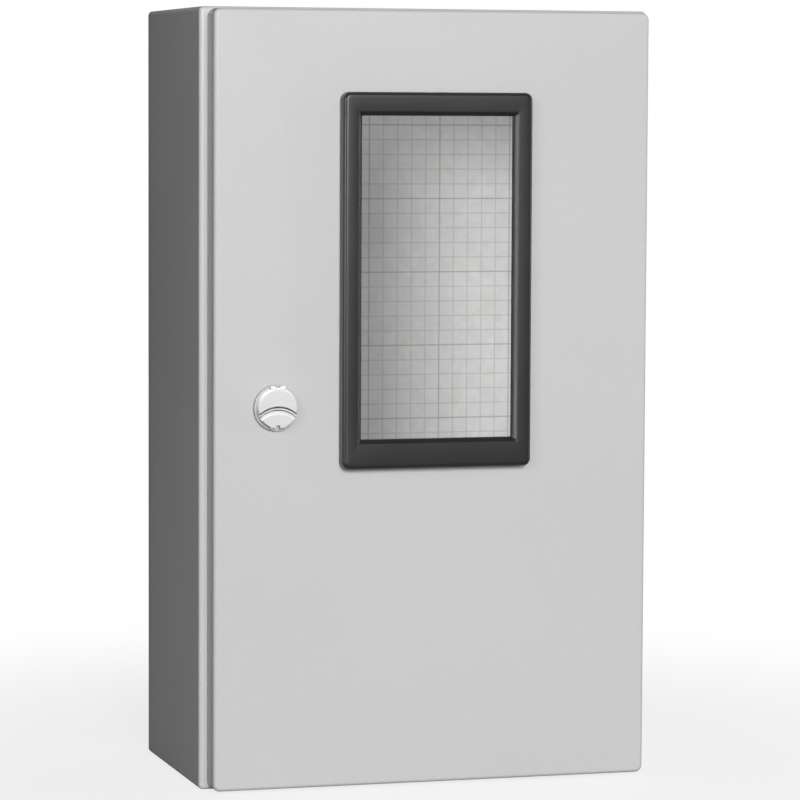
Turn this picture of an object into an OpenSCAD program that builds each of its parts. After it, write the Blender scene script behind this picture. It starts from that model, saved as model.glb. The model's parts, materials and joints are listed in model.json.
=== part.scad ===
// Steel wall enclosure with a glazed door.
// Origin: middle of the wall fixing holes, on the back face. +X right, -Y towards the user, +Z up.

/* [Body] */
// Outer width of the body
body_w = 300; // [280:5:400]
// Outer height of the body
body_h = 500; // [460:10:700]
// Depth of the body, from the wall to the face of the front flange
body_d = 150; // [120:5:250]
// Sheet thickness of the body
sheet_t = 1.2; // [1:0.1:2]
// Outside radius of the folds and corners of the body
body_bend_r = 2.5; // [2.2:0.1:3]
// Width of the front flange, from the outer face to the sealing lip
flange_w = 25; // [24:0.5:32]
// Height of the sealing lip in front of the flange
lip_h = 10; // [6:0.5:10]
// Depth of the welded back pan
back_pan_d = 15; // [8:1:25]

/* [Wall fixing] */
// Distance of the wall holes inside the left and right of the body
wall_hole_side = 25; // [22:0.5:30]
// Distance of the wall holes inside the top and bottom of the body
wall_hole_end = 25; // [22:0.5:30]
// Diameter of the wall holes
wall_hole_d = 8.5; // [6:0.5:10]

/* [Door] */
// Gap between the door's edge and the flange
door_gap = 3; // [2.5:0.1:4]
// Depth of the door's folded edge
door_d = 16; // [15:0.5:20]
// Distance of the door's edge inside each side of the body
door_side_inset = 5; // [4:0.5:8]
// Distance of the door's edge inside the top and bottom of the body
door_end_inset = 1.5; // [1:0.5:5]
// Sheet thickness of the door
door_t = 1.2; // [1:0.1:1.5]
// Outside radius of the door's folds
door_edge_r = 2.5; // [2:0.1:3]
// Radius of the door's corners, seen from the front
door_corner_r = 4.5; // [3.5:0.5:8]
// Width of the foam seal
seal_w = 12; // [8:0.5:12]
// Space left between the foam seal and the sealing lip
seal_clear = 0.3; // [0.3:0.05:0.6]

/* [Hinges] */
// Distance from the middle of each hinge to the end of the door
hinge_end = 58.5; // [50:0.5:90]
// Distance of the hinge axis inside the door's edge
hinge_in = 7; // [6.5:0.5:8]
// Distance of the hinge axis in front of the flange
hinge_out = 11; // [11:0.25:12]
// Diameter of the hinge pin
hinge_pin_d = 5; // [4:0.25:5.5]
// Outer diameter of the hinge knuckles
knuckle_d = 9; // [8.5:0.25:9]
// Length of the fixed knuckle
knuckle_l = 14; // [10:1:20]
// Length of each knuckle on the door
door_knuckle_l = 10; // [6:1:12]
// Radial clearance of the pin in the fixed knuckle
pin_fit = 0.05; // [0.02:0.01:0.1]
// Thickness of the hinge plates
hinge_plate_t = 2; // [1.5:0.1:2]

/* [Window] */
// Outer width of the window frame
window_w = 126; // [110:1:160]
// Outer height of the window frame
window_h = 240; // [160:1:260]
// Distance from the top of the door to the window frame
window_top = 52; // [40:0.5:80]
// Width of the frame's side bars
side_bar = 12.5; // [12.5:0.5:18]
// Width of the frame's top bar
top_bar = 15; // [13:0.5:20]
// Width of the frame's bottom bar
bottom_bar = 19; // [13:0.5:26]
// Height of the frame in front of its seal
window_proud = 9; // [7:0.5:12]
// Corner radius of the frame, seen from the front
window_corner_r = 5; // [4:0.5:8]
// Radius of the frame's outer front edge
window_edge_r = 3; // [1:0.25:3.5]
// Slope cut on the frame's inner front edge
window_chamfer = 2.5; // [1:0.25:3]
// Thickness of the pane
pane_t = 3; // [2:0.5:4]
// How far the pane reaches under the frame
pane_lap = 4; // [3:0.5:4]
// Thickness of the seal between the frame and the door
window_seal_t = 1; // [0.5:0.25:2]
// Diameter of the frame's screws
window_screw_d = 3; // [2.5:0.5:3]

/* [Lock] */
// Distance from the middle of the lock to the door's edge
lock_in = 40; // [38:0.5:45]
// Distance of the lock below the middle of the door
lock_down = 3.5; // [0:0.5:40]
// Diameter of the lock's outer flange
lock_flange_d = 29; // [28:0.5:32]
// Diameter of the lock's body
lock_body_d = 20; // [19.5:0.25:21]
// Diameter of the turning barrel
barrel_d = 14; // [12:0.5:15]
// Radial clearance of the barrel in the lock's body
barrel_fit = 0.05; // [0.02:0.01:0.1]
// Distance from the barrel's axis to the tip of the cam
cam_l = 38; // [30:1:40]
// Thickness of the cam
cam_t = 3; // [2:0.5:4]
// Gap between the cam and the flange behind which it turns
cam_gap = 1; // [0.5:0.25:3]
// Diameter of the dust cover
cover_d = 26; // [24:0.5:26]
// Thickness of the dust cover
cover_t = 4.4; // [4:0.1:6]

/* [Mounting plate] */
// Distance from the mounting plate to the left and right of the body
plate_side = 30; // [29:1:50]
// Distance from the mounting plate to the top and bottom of the body
plate_end = 30; // [29:1:60]
// Thickness of the mounting plate
plate_t = 2; // [1.5:0.5:3]
// Height of the spacers under the mounting plate
plate_spacer = 12; // [6:1:40]
// Distance of the plate's studs from its edges
plate_stud_in = 15; // [10:1:30]
// Diameter of the plate's studs
plate_stud_d = 6; // [5:1:8]

/* [Cable entry] */
// Width of the cable entry in the bottom
gland_w = 200; // [100:10:220]
// Depth of the cable entry in the bottom
gland_d = 90; // [50:5:90]
// Width of the rim on which the entry plate lies
gland_rim = 10; // [10:0.5:14]
// Thickness of the entry plate
gland_plate_t = 1.5; // [1:0.5:3]
// Thickness of the entry plate's gasket
gland_gasket_t = 2; // [1:0.5:3]
// Diameter of the entry plate's studs
gland_stud_d = 4; // [3:1:4]

/* [Hidden] */
$fn = 64;
part_clear = 0.5;
hole_clear = 0.2;
cut_over = 1;

// Depths, counted from the wall towards the user
flange_face = body_d;
door_back = flange_face + door_gap;
door_front = door_back + door_d;
door_inner = door_front - door_t;
lip_tip = flange_face + lip_h;
hinge_depth = flange_face + hinge_out;

// Door outline
door_w = body_w - 2 * door_side_inset;
door_h = body_h - 2 * door_end_inset;
door_inner_corner_r = door_corner_r - door_t;
door_inner_edge_r = door_edge_r - door_t;

// Body outline
opening_w = body_w - 2 * flange_w;
opening_h = body_h - 2 * flange_w;
inner_bend_r = body_bend_r - sheet_t;
corner_over_bend = 0.5;
body_corner_r = body_bend_r + corner_over_bend;
inner_corner_r = body_corner_r - sheet_t;

// Wall holes
wall_pitch_x = body_w - 2 * wall_hole_side;
wall_pitch_z = body_h - 2 * wall_hole_end;

// Hinges
hinge_x = door_w / 2 - hinge_in;
hinge_z = door_h / 2 - hinge_end;
pin_r = hinge_pin_d / 2;
knuckle_r = knuckle_d / 2;
leaf_t = 1.5;
stand_l = knuckle_l + 2 * door_knuckle_l;
leaf_over = 13;
leaf_l = stand_l + 2 * leaf_over;
leaf_left = -hinge_in;
leaf_right = hinge_in - max(door_edge_r, door_t + hole_clear);
leaf_stud_r = 2;
leaf_stud_end = 5;
leaf_stud_z = leaf_l / 2 - leaf_stud_end;
leaf_stud_x = -1;
leaf_stud_over = 1;
leaf_nut_h = 3.2;
leaf_nut_af = 7;
notch_clear = 3;
notch_l = stand_l + 2 * notch_clear;
arm_left = -3.5;
arm_right = 0.5;
foot_lip_clear = 1.5;
foot_left = -(flange_w - door_side_inset - hinge_in - foot_lip_clear);
foot_screw_r = 2;
foot_screw_side = 4.3;
foot_screw_x = foot_left + foot_screw_side;
foot_screw_end = 5;
foot_screw_z = stand_l / 2 - foot_screw_end;
foot_head_r = 3.4;
foot_head_h = 1.8;
foot_screw_over = 3;
screw_fit = 0.02;
pin_head_r = 3.8;
pin_head_h = 1.5;
pin_over = 1;
thread_fit = 0.01;

// Window
window_z = door_h / 2 - window_top - window_h / 2;
glass_w = window_w - 2 * side_bar;
glass_h = window_h - top_bar - bottom_bar;
glass_z = window_z + (bottom_bar - top_bar) / 2;
pane_w = glass_w + 2 * pane_lap;
pane_h = glass_h + 2 * pane_lap;
pocket_w = pane_w + 2 * hole_clear;
pocket_h = pane_h + 2 * hole_clear;
collar_wall = 1.9;
collar_w = pocket_w + 2 * collar_wall;
collar_h = pocket_h + 2 * collar_wall;
cutout_w = collar_w + 2 * hole_clear;
cutout_h = collar_h + 2 * hole_clear;
window_back = door_front + window_seal_t;
window_front = window_back + window_proud;
pane_seal_t = 1;
pane_seal_w = 3;
pane_back = door_front;
pane_front = pane_back + pane_t;
retainer_t = 3;
retainer_lap = 1.2;
window_screw_r = window_screw_d / 2;
window_screw_x = (window_w / 2 + cutout_w / 2) / 2;
window_screw_up = 0.3;
window_screw_top = (window_z + window_h / 2 + glass_z + cutout_h / 2) / 2 + window_screw_up;
window_screw_bottom = (window_z - window_h / 2 + glass_z - cutout_h / 2) / 2;
window_screw_in = 5;
window_screw_head_r = 2.6;
window_screw_head_h = 2;
window_seal_in = 2;
window_rows = 4;

// Lock
lock_x = -door_w / 2 + lock_in;
lock_z = -lock_down;
lock_seal_t = 0.8;
lock_flange_back = door_front + lock_seal_t;
lock_flange_t = 2.5;
lock_face = lock_flange_back + lock_flange_t;
lock_flat_cut = 1;
lock_flat = lock_body_d / 2 - lock_flat_cut;
cam_front = flange_face - sheet_t - cam_gap;
cam_back = cam_front - cam_t;
cam_side_clear = 1.2;
lock_body_back = cam_front + cam_side_clear;
barrel_r = barrel_d / 2;
barrel_lip = 1.2;
barrel_head_r = barrel_r + barrel_lip;
barrel_head_t = 2;
barrel_head_in = 0.1;
tang = 8;
tang_fit = 0.1;
tang_in = 0.2;
key_wall = 1.8;
key_hole_r = barrel_r - key_wall;
key_hole_depth = 8;
key_pin_r = 1.5;
key_bit_w = 7.2;
key_bit_t = 2.2;
key_pin_in = 1;
lock_nut_t = 5;
lock_nut_wall = 2;
lock_nut_af = lock_body_d + 2 * lock_nut_wall;
lock_seal_in = 0.5;
cam_boss_wall = 2;
cam_boss_r = barrel_r + cam_boss_wall;
cam_tip_w = 14;
cam_tip_r = 3;
cam_washer_t = 1.2;
cam_screw_r = 2.5;
cam_screw_l = 12;
cam_head_h = 3.5;
cam_head_af = 8;
cover_gap = 0.4;
cover_back = lock_face + cover_gap;
cover_front = cover_back + cover_t;
cover_r = cover_d / 2;
cover_axis_in = 1;
cover_axis_y = cover_r - cover_axis_in;
cover_axis_depth = cover_back + cover_t / 2;
cover_pin_r = 0.8;
cover_knuckle_w = 9.5;
cover_pin_in = 0.25;
cover_open = 110;
lug_w = 3;
lug_r = 1.3;
lug_web = 1.8;
lug_clear = 0.2;
lug_reach = 4;
cover_edge_r = 1.6;
cover_knuckle_in = 0.2;
cover_knuckle_r = cover_t / 2 - cover_knuckle_in;
cover_pin_fit = 0.05;
cover_lip_w = 10;
cover_lip_l = 6;
cover_lip_cut = 0.4;
cover_lip_in = 0.8;
cover_notch_r = 1.5;
cover_notch_in = 1;
cover_hollow_h = 1.2;
cover_hollow_clear = 0.5;

// Arcs across the dust cover: the height of each one's top, its radius and the cut's depth
grip_top = 1.4;
grip_top_r = 18;
grip_top_cut = 1.1;
grip_step = -0.7;
grip_step_r = 17;
grip_step_cut = 1.8;
grip_end = -3.7;
grip_end_r = 15.5;
grip_end_cut = 0.5;

// Mounting plate
plate_back = sheet_t + plate_spacer;
plate_front = plate_back + plate_t;
plate_w = body_w - 2 * plate_side;
plate_h = body_h - 2 * plate_end;
plate_stud_x = plate_w / 2 - plate_stud_in;
plate_stud_z = plate_h / 2 - plate_stud_in;
plate_stud_r = plate_stud_d / 2;
plate_washer_t = 1.2;
plate_nut_t = plate_stud_d * 0.8;
plate_nut_af = plate_stud_d * 5 / 3;
plate_stud_over = 3;
plate_stud_tip = plate_front + plate_washer_t + plate_nut_t + plate_stud_over;
spacer_r = plate_stud_d;
plate_corner_r = 3;

// Cable entry
gland_mid = body_d / 2;
gland_plate_w = gland_w + 2 * gland_rim;
gland_plate_d = gland_d + 2 * gland_rim;
gland_floor = -body_h / 2 + sheet_t;
gland_stud_r = gland_stud_d / 2;
gland_stud_x = gland_w / 2 + gland_rim / 2;
gland_stud_y = gland_d / 2 + gland_rim / 2;
gland_nut_h = 3.2;
gland_nut_af = 7;
gland_stud_over = 2;
gland_stud_l = gland_gasket_t + gland_plate_t + gland_nut_h + gland_stud_over;
gland_corner_r = 3;

// Earth studs
earth_stud_r = 3;
earth_stud_l = 16;
earth_nut_h = 5;
earth_nut_af = 10;
earth_washer_t = 1.4;
earth_collar_t = 2;
earth_collar_over = 2;
earth_washer_over = 1;
body_earth_front = 55;
body_earth_end = 45;
door_earth_side = 52;
door_earth_end = 42;
body_earth_depth = body_d - body_earth_front;
body_earth_z = -body_h / 2 + body_earth_end;
door_earth_x = -door_w / 2 + door_earth_side;
door_earth_z = -door_h / 2 + door_earth_end;

// Turns a front view, drawn flat with its depth counted from the wall, into the standing part
module upright() {
    rotate([90, 0, 0]) children();
}

// Rectangle with round corners
module round_rect(w, h, r) {
    square([w - 2 * r, h], center = true);
    square([w, h - 2 * r], center = true);
    for (x = [-1, 1], y = [-1, 1])
        translate([x * (w / 2 - r), y * (h / 2 - r)]) circle(r = r);
}

// Half section of a slab's rim: flat inside, with a round outer front edge
module rim_section(reach, height, edge_r) {
    square([reach - edge_r, height]);
    intersection() {
        translate([reach - edge_r, height - edge_r]) circle(r = edge_r);
        translate([0, height - edge_r]) square([reach, edge_r]);
    }
}

// Slab with round corners and a round front edge, from z = 0 forwards
module rounded_slab(w, h, d, corner_r, edge_r) {
    x = w / 2 - corner_r;
    y = h / 2 - corner_r;
    linear_extrude(d - edge_r) round_rect(w, h, corner_r);
    translate([0, 0, d - edge_r]) {
        linear_extrude(edge_r) square([2 * x, 2 * y], center = true);
        for (sx = [-1, 1], sy = [-1, 1])
            translate([sx * x, sy * y, 0])
                rotate_extrude() rim_section(corner_r, edge_r, edge_r);
        for (turn = [0, 180]) {
            rotate([0, 0, turn]) translate([x, y, 0]) rotate([90, 0, 0])
                linear_extrude(2 * y) rim_section(corner_r, edge_r, edge_r);
            rotate([0, 0, turn + 90]) translate([y, x, 0]) rotate([90, 0, 0])
                linear_extrude(2 * x) rim_section(corner_r, edge_r, edge_r);
        }
    }
}

// Flat rectangular ring
module ring(w, h, inner_w, inner_h, t) {
    linear_extrude(t) difference() {
        square([w, h], center = true);
        square([inner_w, inner_h], center = true);
    }
}

// Rectangular hole that widens towards the front, from z = 0 to z = d
module flared_hole(w, h, d, flare) {
    intersection() {
        rotate([90, 0, 0]) linear_extrude(h + 4 * flare, center = true)
            polygon([[-w / 2, 0], [w / 2, 0], [w / 2 + flare, d], [-w / 2 - flare, d]]);
        rotate([90, 0, 90]) linear_extrude(w + 4 * flare, center = true)
            polygon([[-h / 2, 0], [h / 2, 0], [h / 2 + flare, d], [-h / 2 - flare, d]]);
    }
}

// Hexagon nut or head standing on z = 0, with flats facing left and right
module hexagon(af, height, bore_r = 0) {
    difference() {
        rotate([0, 0, 30]) cylinder(r = af / sqrt(3), h = height, $fn = 6);
        if (bore_r > 0)
            translate([0, 0, -cut_over]) cylinder(r = bore_r, h = height + 2 * cut_over);
    }
}

// Plain washer standing on z = 0
module washer(r, bore_r, height) {
    difference() {
        cylinder(r = r, h = height);
        translate([0, 0, -cut_over]) cylinder(r = bore_r, h = height + 2 * cut_over);
    }
}

// Cylinder up the hinge axis, from one height to the other
module upright_cylinder(r, from, to) {
    translate([0, from, 0]) rotate([-90, 0, 0]) cylinder(r = r, h = to - from);
}

// Screw pointing down, with the underside of its head at z = 0
module screw(shank_r, shank_l, head_r, head_h) {
    cylinder(r = head_r, h = head_h);
    translate([0, 0, -shank_l]) cylinder(r = shank_r, h = shank_l + head_h / 2);
}

module at_each(positions) {
    for (p = positions) translate(p) children();
}

plate_stud_places = [
    for (x = [-1, 1], y = [-1, 1]) [x * plate_stud_x, y * plate_stud_z, 0]
];
wall_hole_places = [
    for (x = [-1, 1], y = [-1, 1]) [x * wall_pitch_x / 2, y * wall_pitch_z / 2, 0]
];
gland_stud_places = [
    for (x = [-1, 0, 1], y = [-1, 1]) [x * gland_stud_x, y * gland_stud_y, 0]
];
window_screw_places = [
    for (x = [-1, 1], i = [0 : window_rows - 1])
        [x * window_screw_x,
         window_screw_bottom + (window_screw_top - window_screw_bottom) * i / (window_rows - 1), 0]
];

// ---- body ----

module wrapper() color([0.80, 0.81, 0.80]) upright() difference() {
    union() {
        difference() {
            translate([0, 0, back_pan_d])
                rounded_slab(body_w, body_h, body_d - back_pan_d, body_corner_r, body_bend_r);
            translate([0, 0, back_pan_d - cut_over])
                rounded_slab(body_w - 2 * sheet_t, body_h - 2 * sheet_t,
                    body_d - back_pan_d - sheet_t + cut_over, inner_corner_r, inner_bend_r);
            translate([0, 0, body_d / 2]) linear_extrude(body_d)
                square([opening_w, opening_h], center = true);
        }
        translate([0, 0, flange_face - sheet_t])
            ring(opening_w, opening_h, opening_w - 2 * sheet_t, opening_h - 2 * sheet_t,
                lip_h + sheet_t);
    }
    translate([-gland_w / 2, -body_h / 2 - cut_over, gland_mid - gland_d / 2])
        cube([gland_w, sheet_t + 2 * cut_over, gland_d]);
    at_hinges() translate([foot_screw_x, 0, flange_face - sheet_t - cut_over])
        at_each([[0, foot_screw_z, 0], [0, -foot_screw_z, 0]])
            cylinder(r = foot_screw_r, h = sheet_t + 2 * cut_over);
}

module back_panel() color([0.80, 0.81, 0.80]) upright() difference() {
    translate([0, 0, back_pan_d]) mirror([0, 0, 1])
        rounded_slab(body_w, body_h, back_pan_d, body_corner_r, body_bend_r);
    translate([0, 0, back_pan_d + cut_over]) mirror([0, 0, 1])
        rounded_slab(body_w - 2 * sheet_t, body_h - 2 * sheet_t, back_pan_d - sheet_t + cut_over,
            inner_corner_r, inner_bend_r);
    translate([0, 0, -cut_over]) at_each(wall_hole_places)
        cylinder(d = wall_hole_d, h = sheet_t + 2 * cut_over);
}

module mounting_plate() color([0.72, 0.74, 0.76]) upright() difference() {
    translate([0, 0, plate_back]) linear_extrude(plate_t) round_rect(plate_w, plate_h, plate_corner_r);
    translate([0, 0, plate_back - cut_over]) at_each(plate_stud_places)
        cylinder(r = plate_stud_r + 2 * hole_clear, h = plate_t + 2 * cut_over);
}

module plate_studs() color([0.70, 0.71, 0.70]) upright() at_each(plate_stud_places)
    translate([0, 0, sheet_t]) cylinder(r = plate_stud_r, h = plate_stud_tip - sheet_t);

module plate_spacers() color([0.62, 0.63, 0.63]) upright() at_each(plate_stud_places)
    translate([0, 0, sheet_t]) washer(spacer_r, plate_stud_r + hole_clear, plate_spacer);

module plate_washers() color([0.74, 0.74, 0.72]) upright() at_each(plate_stud_places)
    translate([0, 0, plate_front]) washer(spacer_r, plate_stud_r + hole_clear, plate_washer_t);

module plate_nuts() color([0.74, 0.74, 0.72]) upright() at_each(plate_stud_places)
    translate([0, 0, plate_front + plate_washer_t])
        hexagon(plate_nut_af, plate_nut_t, plate_stud_r + thread_fit);

// Lays a plan view of the bottom, drawn from above, on the floor of the body
module on_floor(height) {
    translate([0, -gland_mid, gland_floor + height]) children();
}

module gland_plate() color([0.80, 0.81, 0.80]) on_floor(gland_gasket_t) difference() {
    linear_extrude(gland_plate_t) round_rect(gland_plate_w, gland_plate_d, gland_corner_r);
    translate([0, 0, -cut_over]) at_each(gland_stud_places)
        cylinder(r = gland_stud_r + hole_clear, h = gland_plate_t + 2 * cut_over);
}

module gland_gasket() color([0.15, 0.15, 0.15]) on_floor(0) difference() {
    ring(gland_plate_w, gland_plate_d, gland_w, gland_d, gland_gasket_t);
    translate([0, 0, -cut_over]) at_each(gland_stud_places)
        cylinder(r = gland_stud_r + hole_clear, h = gland_gasket_t + 2 * cut_over);
}

module gland_studs() color([0.70, 0.71, 0.70]) on_floor(0) at_each(gland_stud_places)
    cylinder(r = gland_stud_r, h = gland_stud_l);

module gland_nuts() color([0.74, 0.74, 0.72]) on_floor(gland_gasket_t + gland_plate_t)
    at_each(gland_stud_places) hexagon(gland_nut_af, gland_nut_h, gland_stud_r + thread_fit);

// ---- hinges ----

// Places a hinge part, drawn about the hinge axis, at both hinges
module at_hinges() {
    for (side = [-1, 1]) translate([hinge_x, side * hinge_z, 0]) children();
}

// Places a hinge part, drawn about its axis, at the upper (1) or lower (-1) hinge
module at_hinge(side) {
    upright() translate([hinge_x, side * hinge_z, hinge_depth]) children();
}

module hinge_bracket() color([0.55, 0.56, 0.56]) difference() {
    union() {
        upright_cylinder(knuckle_r, -knuckle_l / 2, knuckle_l / 2);
        translate([arm_left, -knuckle_l / 2, -hinge_out])
            cube([arm_right - arm_left, knuckle_l, hinge_out]);
        translate([foot_left, -stand_l / 2, -hinge_out])
            cube([arm_right - foot_left, stand_l, hinge_plate_t]);
    }
    upright_cylinder(pin_r + pin_fit, -knuckle_l, knuckle_l);
    for (z = [-foot_screw_z, foot_screw_z])
        translate([foot_screw_x, z, -hinge_out - cut_over])
            cylinder(r = foot_screw_r + hole_clear, h = hinge_plate_t + 2 * cut_over);
}

module hinge_bracket_upper() at_hinge(1) hinge_bracket();
module hinge_bracket_lower() at_hinge(-1) hinge_bracket();

module bracket_screws() color([0.74, 0.74, 0.72])
    for (side = [-1, 1], z = [-foot_screw_z, foot_screw_z])
        at_hinge(side) translate([foot_screw_x, z, hinge_plate_t - hinge_out])
            screw(foot_screw_r - screw_fit, hinge_plate_t + sheet_t + foot_screw_over,
                foot_head_r, foot_head_h);

module hinge_leaf() color([0.55, 0.56, 0.56]) difference() {
    union() {
        translate([leaf_left, -leaf_l / 2, door_inner - hinge_depth - leaf_t])
            cube([leaf_right - leaf_left, leaf_l, leaf_t]);
        for (side = [-1, 1]) {
            middle = side * (knuckle_l / 2 + part_clear + door_knuckle_l / 2);
            upright_cylinder(knuckle_r, middle - door_knuckle_l / 2, middle + door_knuckle_l / 2);
            translate([-knuckle_r, middle - door_knuckle_l / 2, 0])
                cube([knuckle_d, door_knuckle_l, door_inner - hinge_depth - leaf_t]);
        }
    }
    upright_cylinder(pin_r + thread_fit, -leaf_l, leaf_l);
    for (z = [-leaf_stud_z, leaf_stud_z])
        translate([leaf_stud_x, z, door_inner - hinge_depth - leaf_t - cut_over])
            cylinder(r = leaf_stud_r + hole_clear, h = leaf_t + 2 * cut_over);
}

module hinge_leaf_upper() at_hinge(1) hinge_leaf();
module hinge_leaf_lower() at_hinge(-1) hinge_leaf();

module leaf_nuts() color([0.74, 0.74, 0.72])
    for (side = [-1, 1], z = [-leaf_stud_z, leaf_stud_z])
        at_hinge(side)
            translate([leaf_stud_x, z, door_inner - hinge_depth - leaf_t - leaf_nut_h])
                hexagon(leaf_nut_af, leaf_nut_h, leaf_stud_r + thread_fit);

module hinge_pin() color([0.68, 0.69, 0.70]) {
    top = knuckle_l / 2 + part_clear + door_knuckle_l;
    upright_cylinder(pin_r, -top - pin_over, top);
    upright_cylinder(pin_head_r, top, top + pin_head_h);
}

module hinge_pin_upper() at_hinge(1) hinge_pin();
module hinge_pin_lower() at_hinge(-1) hinge_pin();

// ---- door ----

module door_panel() color([0.82, 0.83, 0.82]) upright() {
    difference() {
        translate([0, 0, door_back])
            rounded_slab(door_w, door_h, door_d, door_corner_r, door_edge_r);
        translate([0, 0, door_back - cut_over])
            rounded_slab(door_w - 2 * door_t, door_h - 2 * door_t, door_d - door_t + cut_over,
                door_inner_corner_r, door_inner_edge_r);
        translate([0, glass_z, door_back]) linear_extrude(2 * door_d)
            square([cutout_w, cutout_h], center = true);
        translate([lock_x, lock_z, door_back]) lock_shape(2 * door_d, hole_clear);
        translate([0, 0, door_inner - cut_over]) at_each(window_screw_places)
            cylinder(r = window_screw_r + hole_clear, h = door_t + 2 * cut_over);
        for (side = [-1, 1])
            translate([door_w / 2 - door_t - cut_over, side * hinge_z - notch_l / 2,
                    door_back - cut_over])
                cube([door_t + 2 * cut_over, notch_l, door_d - door_edge_r + cut_over]);
    }
    for (side = [-1, 1], z = [-leaf_stud_z, leaf_stud_z])
        translate([hinge_x + leaf_stud_x, side * hinge_z + z,
                door_inner - leaf_t - leaf_nut_h - leaf_stud_over])
            cylinder(r = leaf_stud_r, h = leaf_t + leaf_nut_h + leaf_stud_over);
}

module door_seal() color([0.12, 0.12, 0.12]) upright()
    translate([0, 0, lip_tip + seal_clear])
        ring(opening_w - sheet_t + seal_w, opening_h - sheet_t + seal_w,
            opening_w - sheet_t - seal_w, opening_h - sheet_t - seal_w,
            door_inner - lip_tip - seal_clear);

// ---- window ----

module window_frame() color([0.16, 0.17, 0.17]) upright() difference() {
    union() {
        translate([0, window_z, window_back])
            rounded_slab(window_w, window_h, window_proud, window_corner_r, window_edge_r);
        translate([0, glass_z, door_inner])
            linear_extrude(window_back - door_inner)
                square([collar_w, collar_h], center = true);
    }
    translate([0, glass_z, 0]) {
        linear_extrude(window_front + cut_over) square([glass_w, glass_h], center = true);
        linear_extrude(pane_front + pane_seal_t) square([pocket_w, pocket_h], center = true);
        translate([0, 0, window_front - window_chamfer])
            flared_hole(glass_w, glass_h, window_chamfer * 1.5, window_chamfer * 1.5);
    }
    translate([0, 0, window_back - cut_over]) at_each(window_screw_places)
        cylinder(r = window_screw_r, h = window_screw_in + cut_over);
}

module window_seal() color([0.10, 0.10, 0.10]) upright() difference() {
    translate([0, 0, door_front]) linear_extrude(window_seal_t) difference() {
        translate([0, window_z])
            square([window_w - 2 * window_seal_in, window_h - 2 * window_seal_in], center = true);
        translate([0, glass_z]) square([cutout_w, cutout_h], center = true);
    }
    translate([0, 0, door_front - cut_over]) at_each(window_screw_places)
        cylinder(r = window_screw_r + hole_clear, h = window_seal_t + 2 * cut_over);
}

module pane_seal() color([0.10, 0.10, 0.10]) upright() translate([0, glass_z, pane_front])
    ring(pane_w, pane_h, pane_w - 2 * pane_seal_w, pane_h - 2 * pane_seal_w, pane_seal_t);

module window_pane() color([0.85, 0.90, 0.92, 0.3]) upright() translate([0, glass_z, pane_back])
    linear_extrude(pane_t) square([pane_w, pane_h], center = true);

module window_retainer() color([0.16, 0.17, 0.17]) upright() difference() {
    union() {
        translate([0, window_z, door_inner - retainer_t])
            linear_extrude(retainer_t) round_rect(window_w, window_h, window_corner_r);
        translate([0, glass_z, door_inner])
            linear_extrude(pane_back - door_inner)
                square([pane_w, pane_h], center = true);
    }
    translate([0, glass_z, 0]) linear_extrude(pane_front)
        square([pane_w - 2 * retainer_lap, pane_h - 2 * retainer_lap], center = true);
    translate([0, 0, door_inner - retainer_t - cut_over]) at_each(window_screw_places)
        cylinder(r = window_screw_r + hole_clear, h = retainer_t + 2 * cut_over);
}

module window_screws() color([0.30, 0.30, 0.31]) upright() at_each(window_screw_places)
    translate([0, 0, door_inner - retainer_t]) mirror([0, 0, 1])
        screw(window_screw_r - screw_fit,
            retainer_t + window_back - door_inner + window_screw_in - part_clear,
            window_screw_head_r, window_screw_head_h);

// ---- lock ----

// Round lock body with two flats that stop it turning
module lock_shape(length, clear = 0) {
    intersection() {
        cylinder(r = lock_body_d / 2 + clear, h = length);
        translate([-lock_body_d, -lock_flat - clear, 0])
            cube([2 * lock_body_d, 2 * (lock_flat + clear), length]);
    }
}

module at_lock() {
    upright() translate([lock_x, lock_z, 0]) children();
}

// Cylinder along the dust cover's hinge axis, centred on the lock
module cover_cylinder(r, width) {
    translate([-width / 2, cover_axis_y, cover_axis_depth]) rotate([0, 90, 0])
        cylinder(r = r, h = width);
}

module lock_housing() color([0.30, 0.31, 0.31]) at_lock() difference() {
    union() {
        translate([0, 0, lock_body_back]) lock_shape(lock_flange_back - lock_body_back);
        translate([0, 0, lock_flange_back]) cylinder(d = lock_flange_d, h = lock_flange_t);
        // lug that carries the dust cover's pin
        cover_cylinder(lug_r, lug_w);
        translate([-lug_w / 2, cover_axis_y - lug_web / 2, lock_face - part_clear])
            cube([lug_w, lug_web, cover_axis_depth - lock_face + part_clear]);
    }
    translate([0, 0, lock_body_back - cut_over])
        cylinder(r = barrel_r + barrel_fit, h = lock_face - lock_body_back + 2 * cut_over);
    translate([0, 0, lock_face - barrel_head_t])
        cylinder(r = barrel_head_r + barrel_fit, h = barrel_head_t + cut_over);
    cover_cylinder(cover_pin_r + thread_fit, 4 * cover_r);
}

module lock_seal() color([0.10, 0.10, 0.10]) at_lock() translate([0, 0, door_front])
    difference() {
        cylinder(r = lock_flange_d / 2 - lock_seal_in, h = lock_seal_t);
        translate([0, 0, -cut_over]) lock_shape(lock_seal_t + 2 * cut_over, hole_clear);
    }

module lock_nut() color([0.68, 0.69, 0.70]) at_lock()
    translate([0, 0, door_inner - lock_nut_t])
        hexagon(lock_nut_af, lock_nut_t, lock_body_d / 2 + thread_fit);

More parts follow.
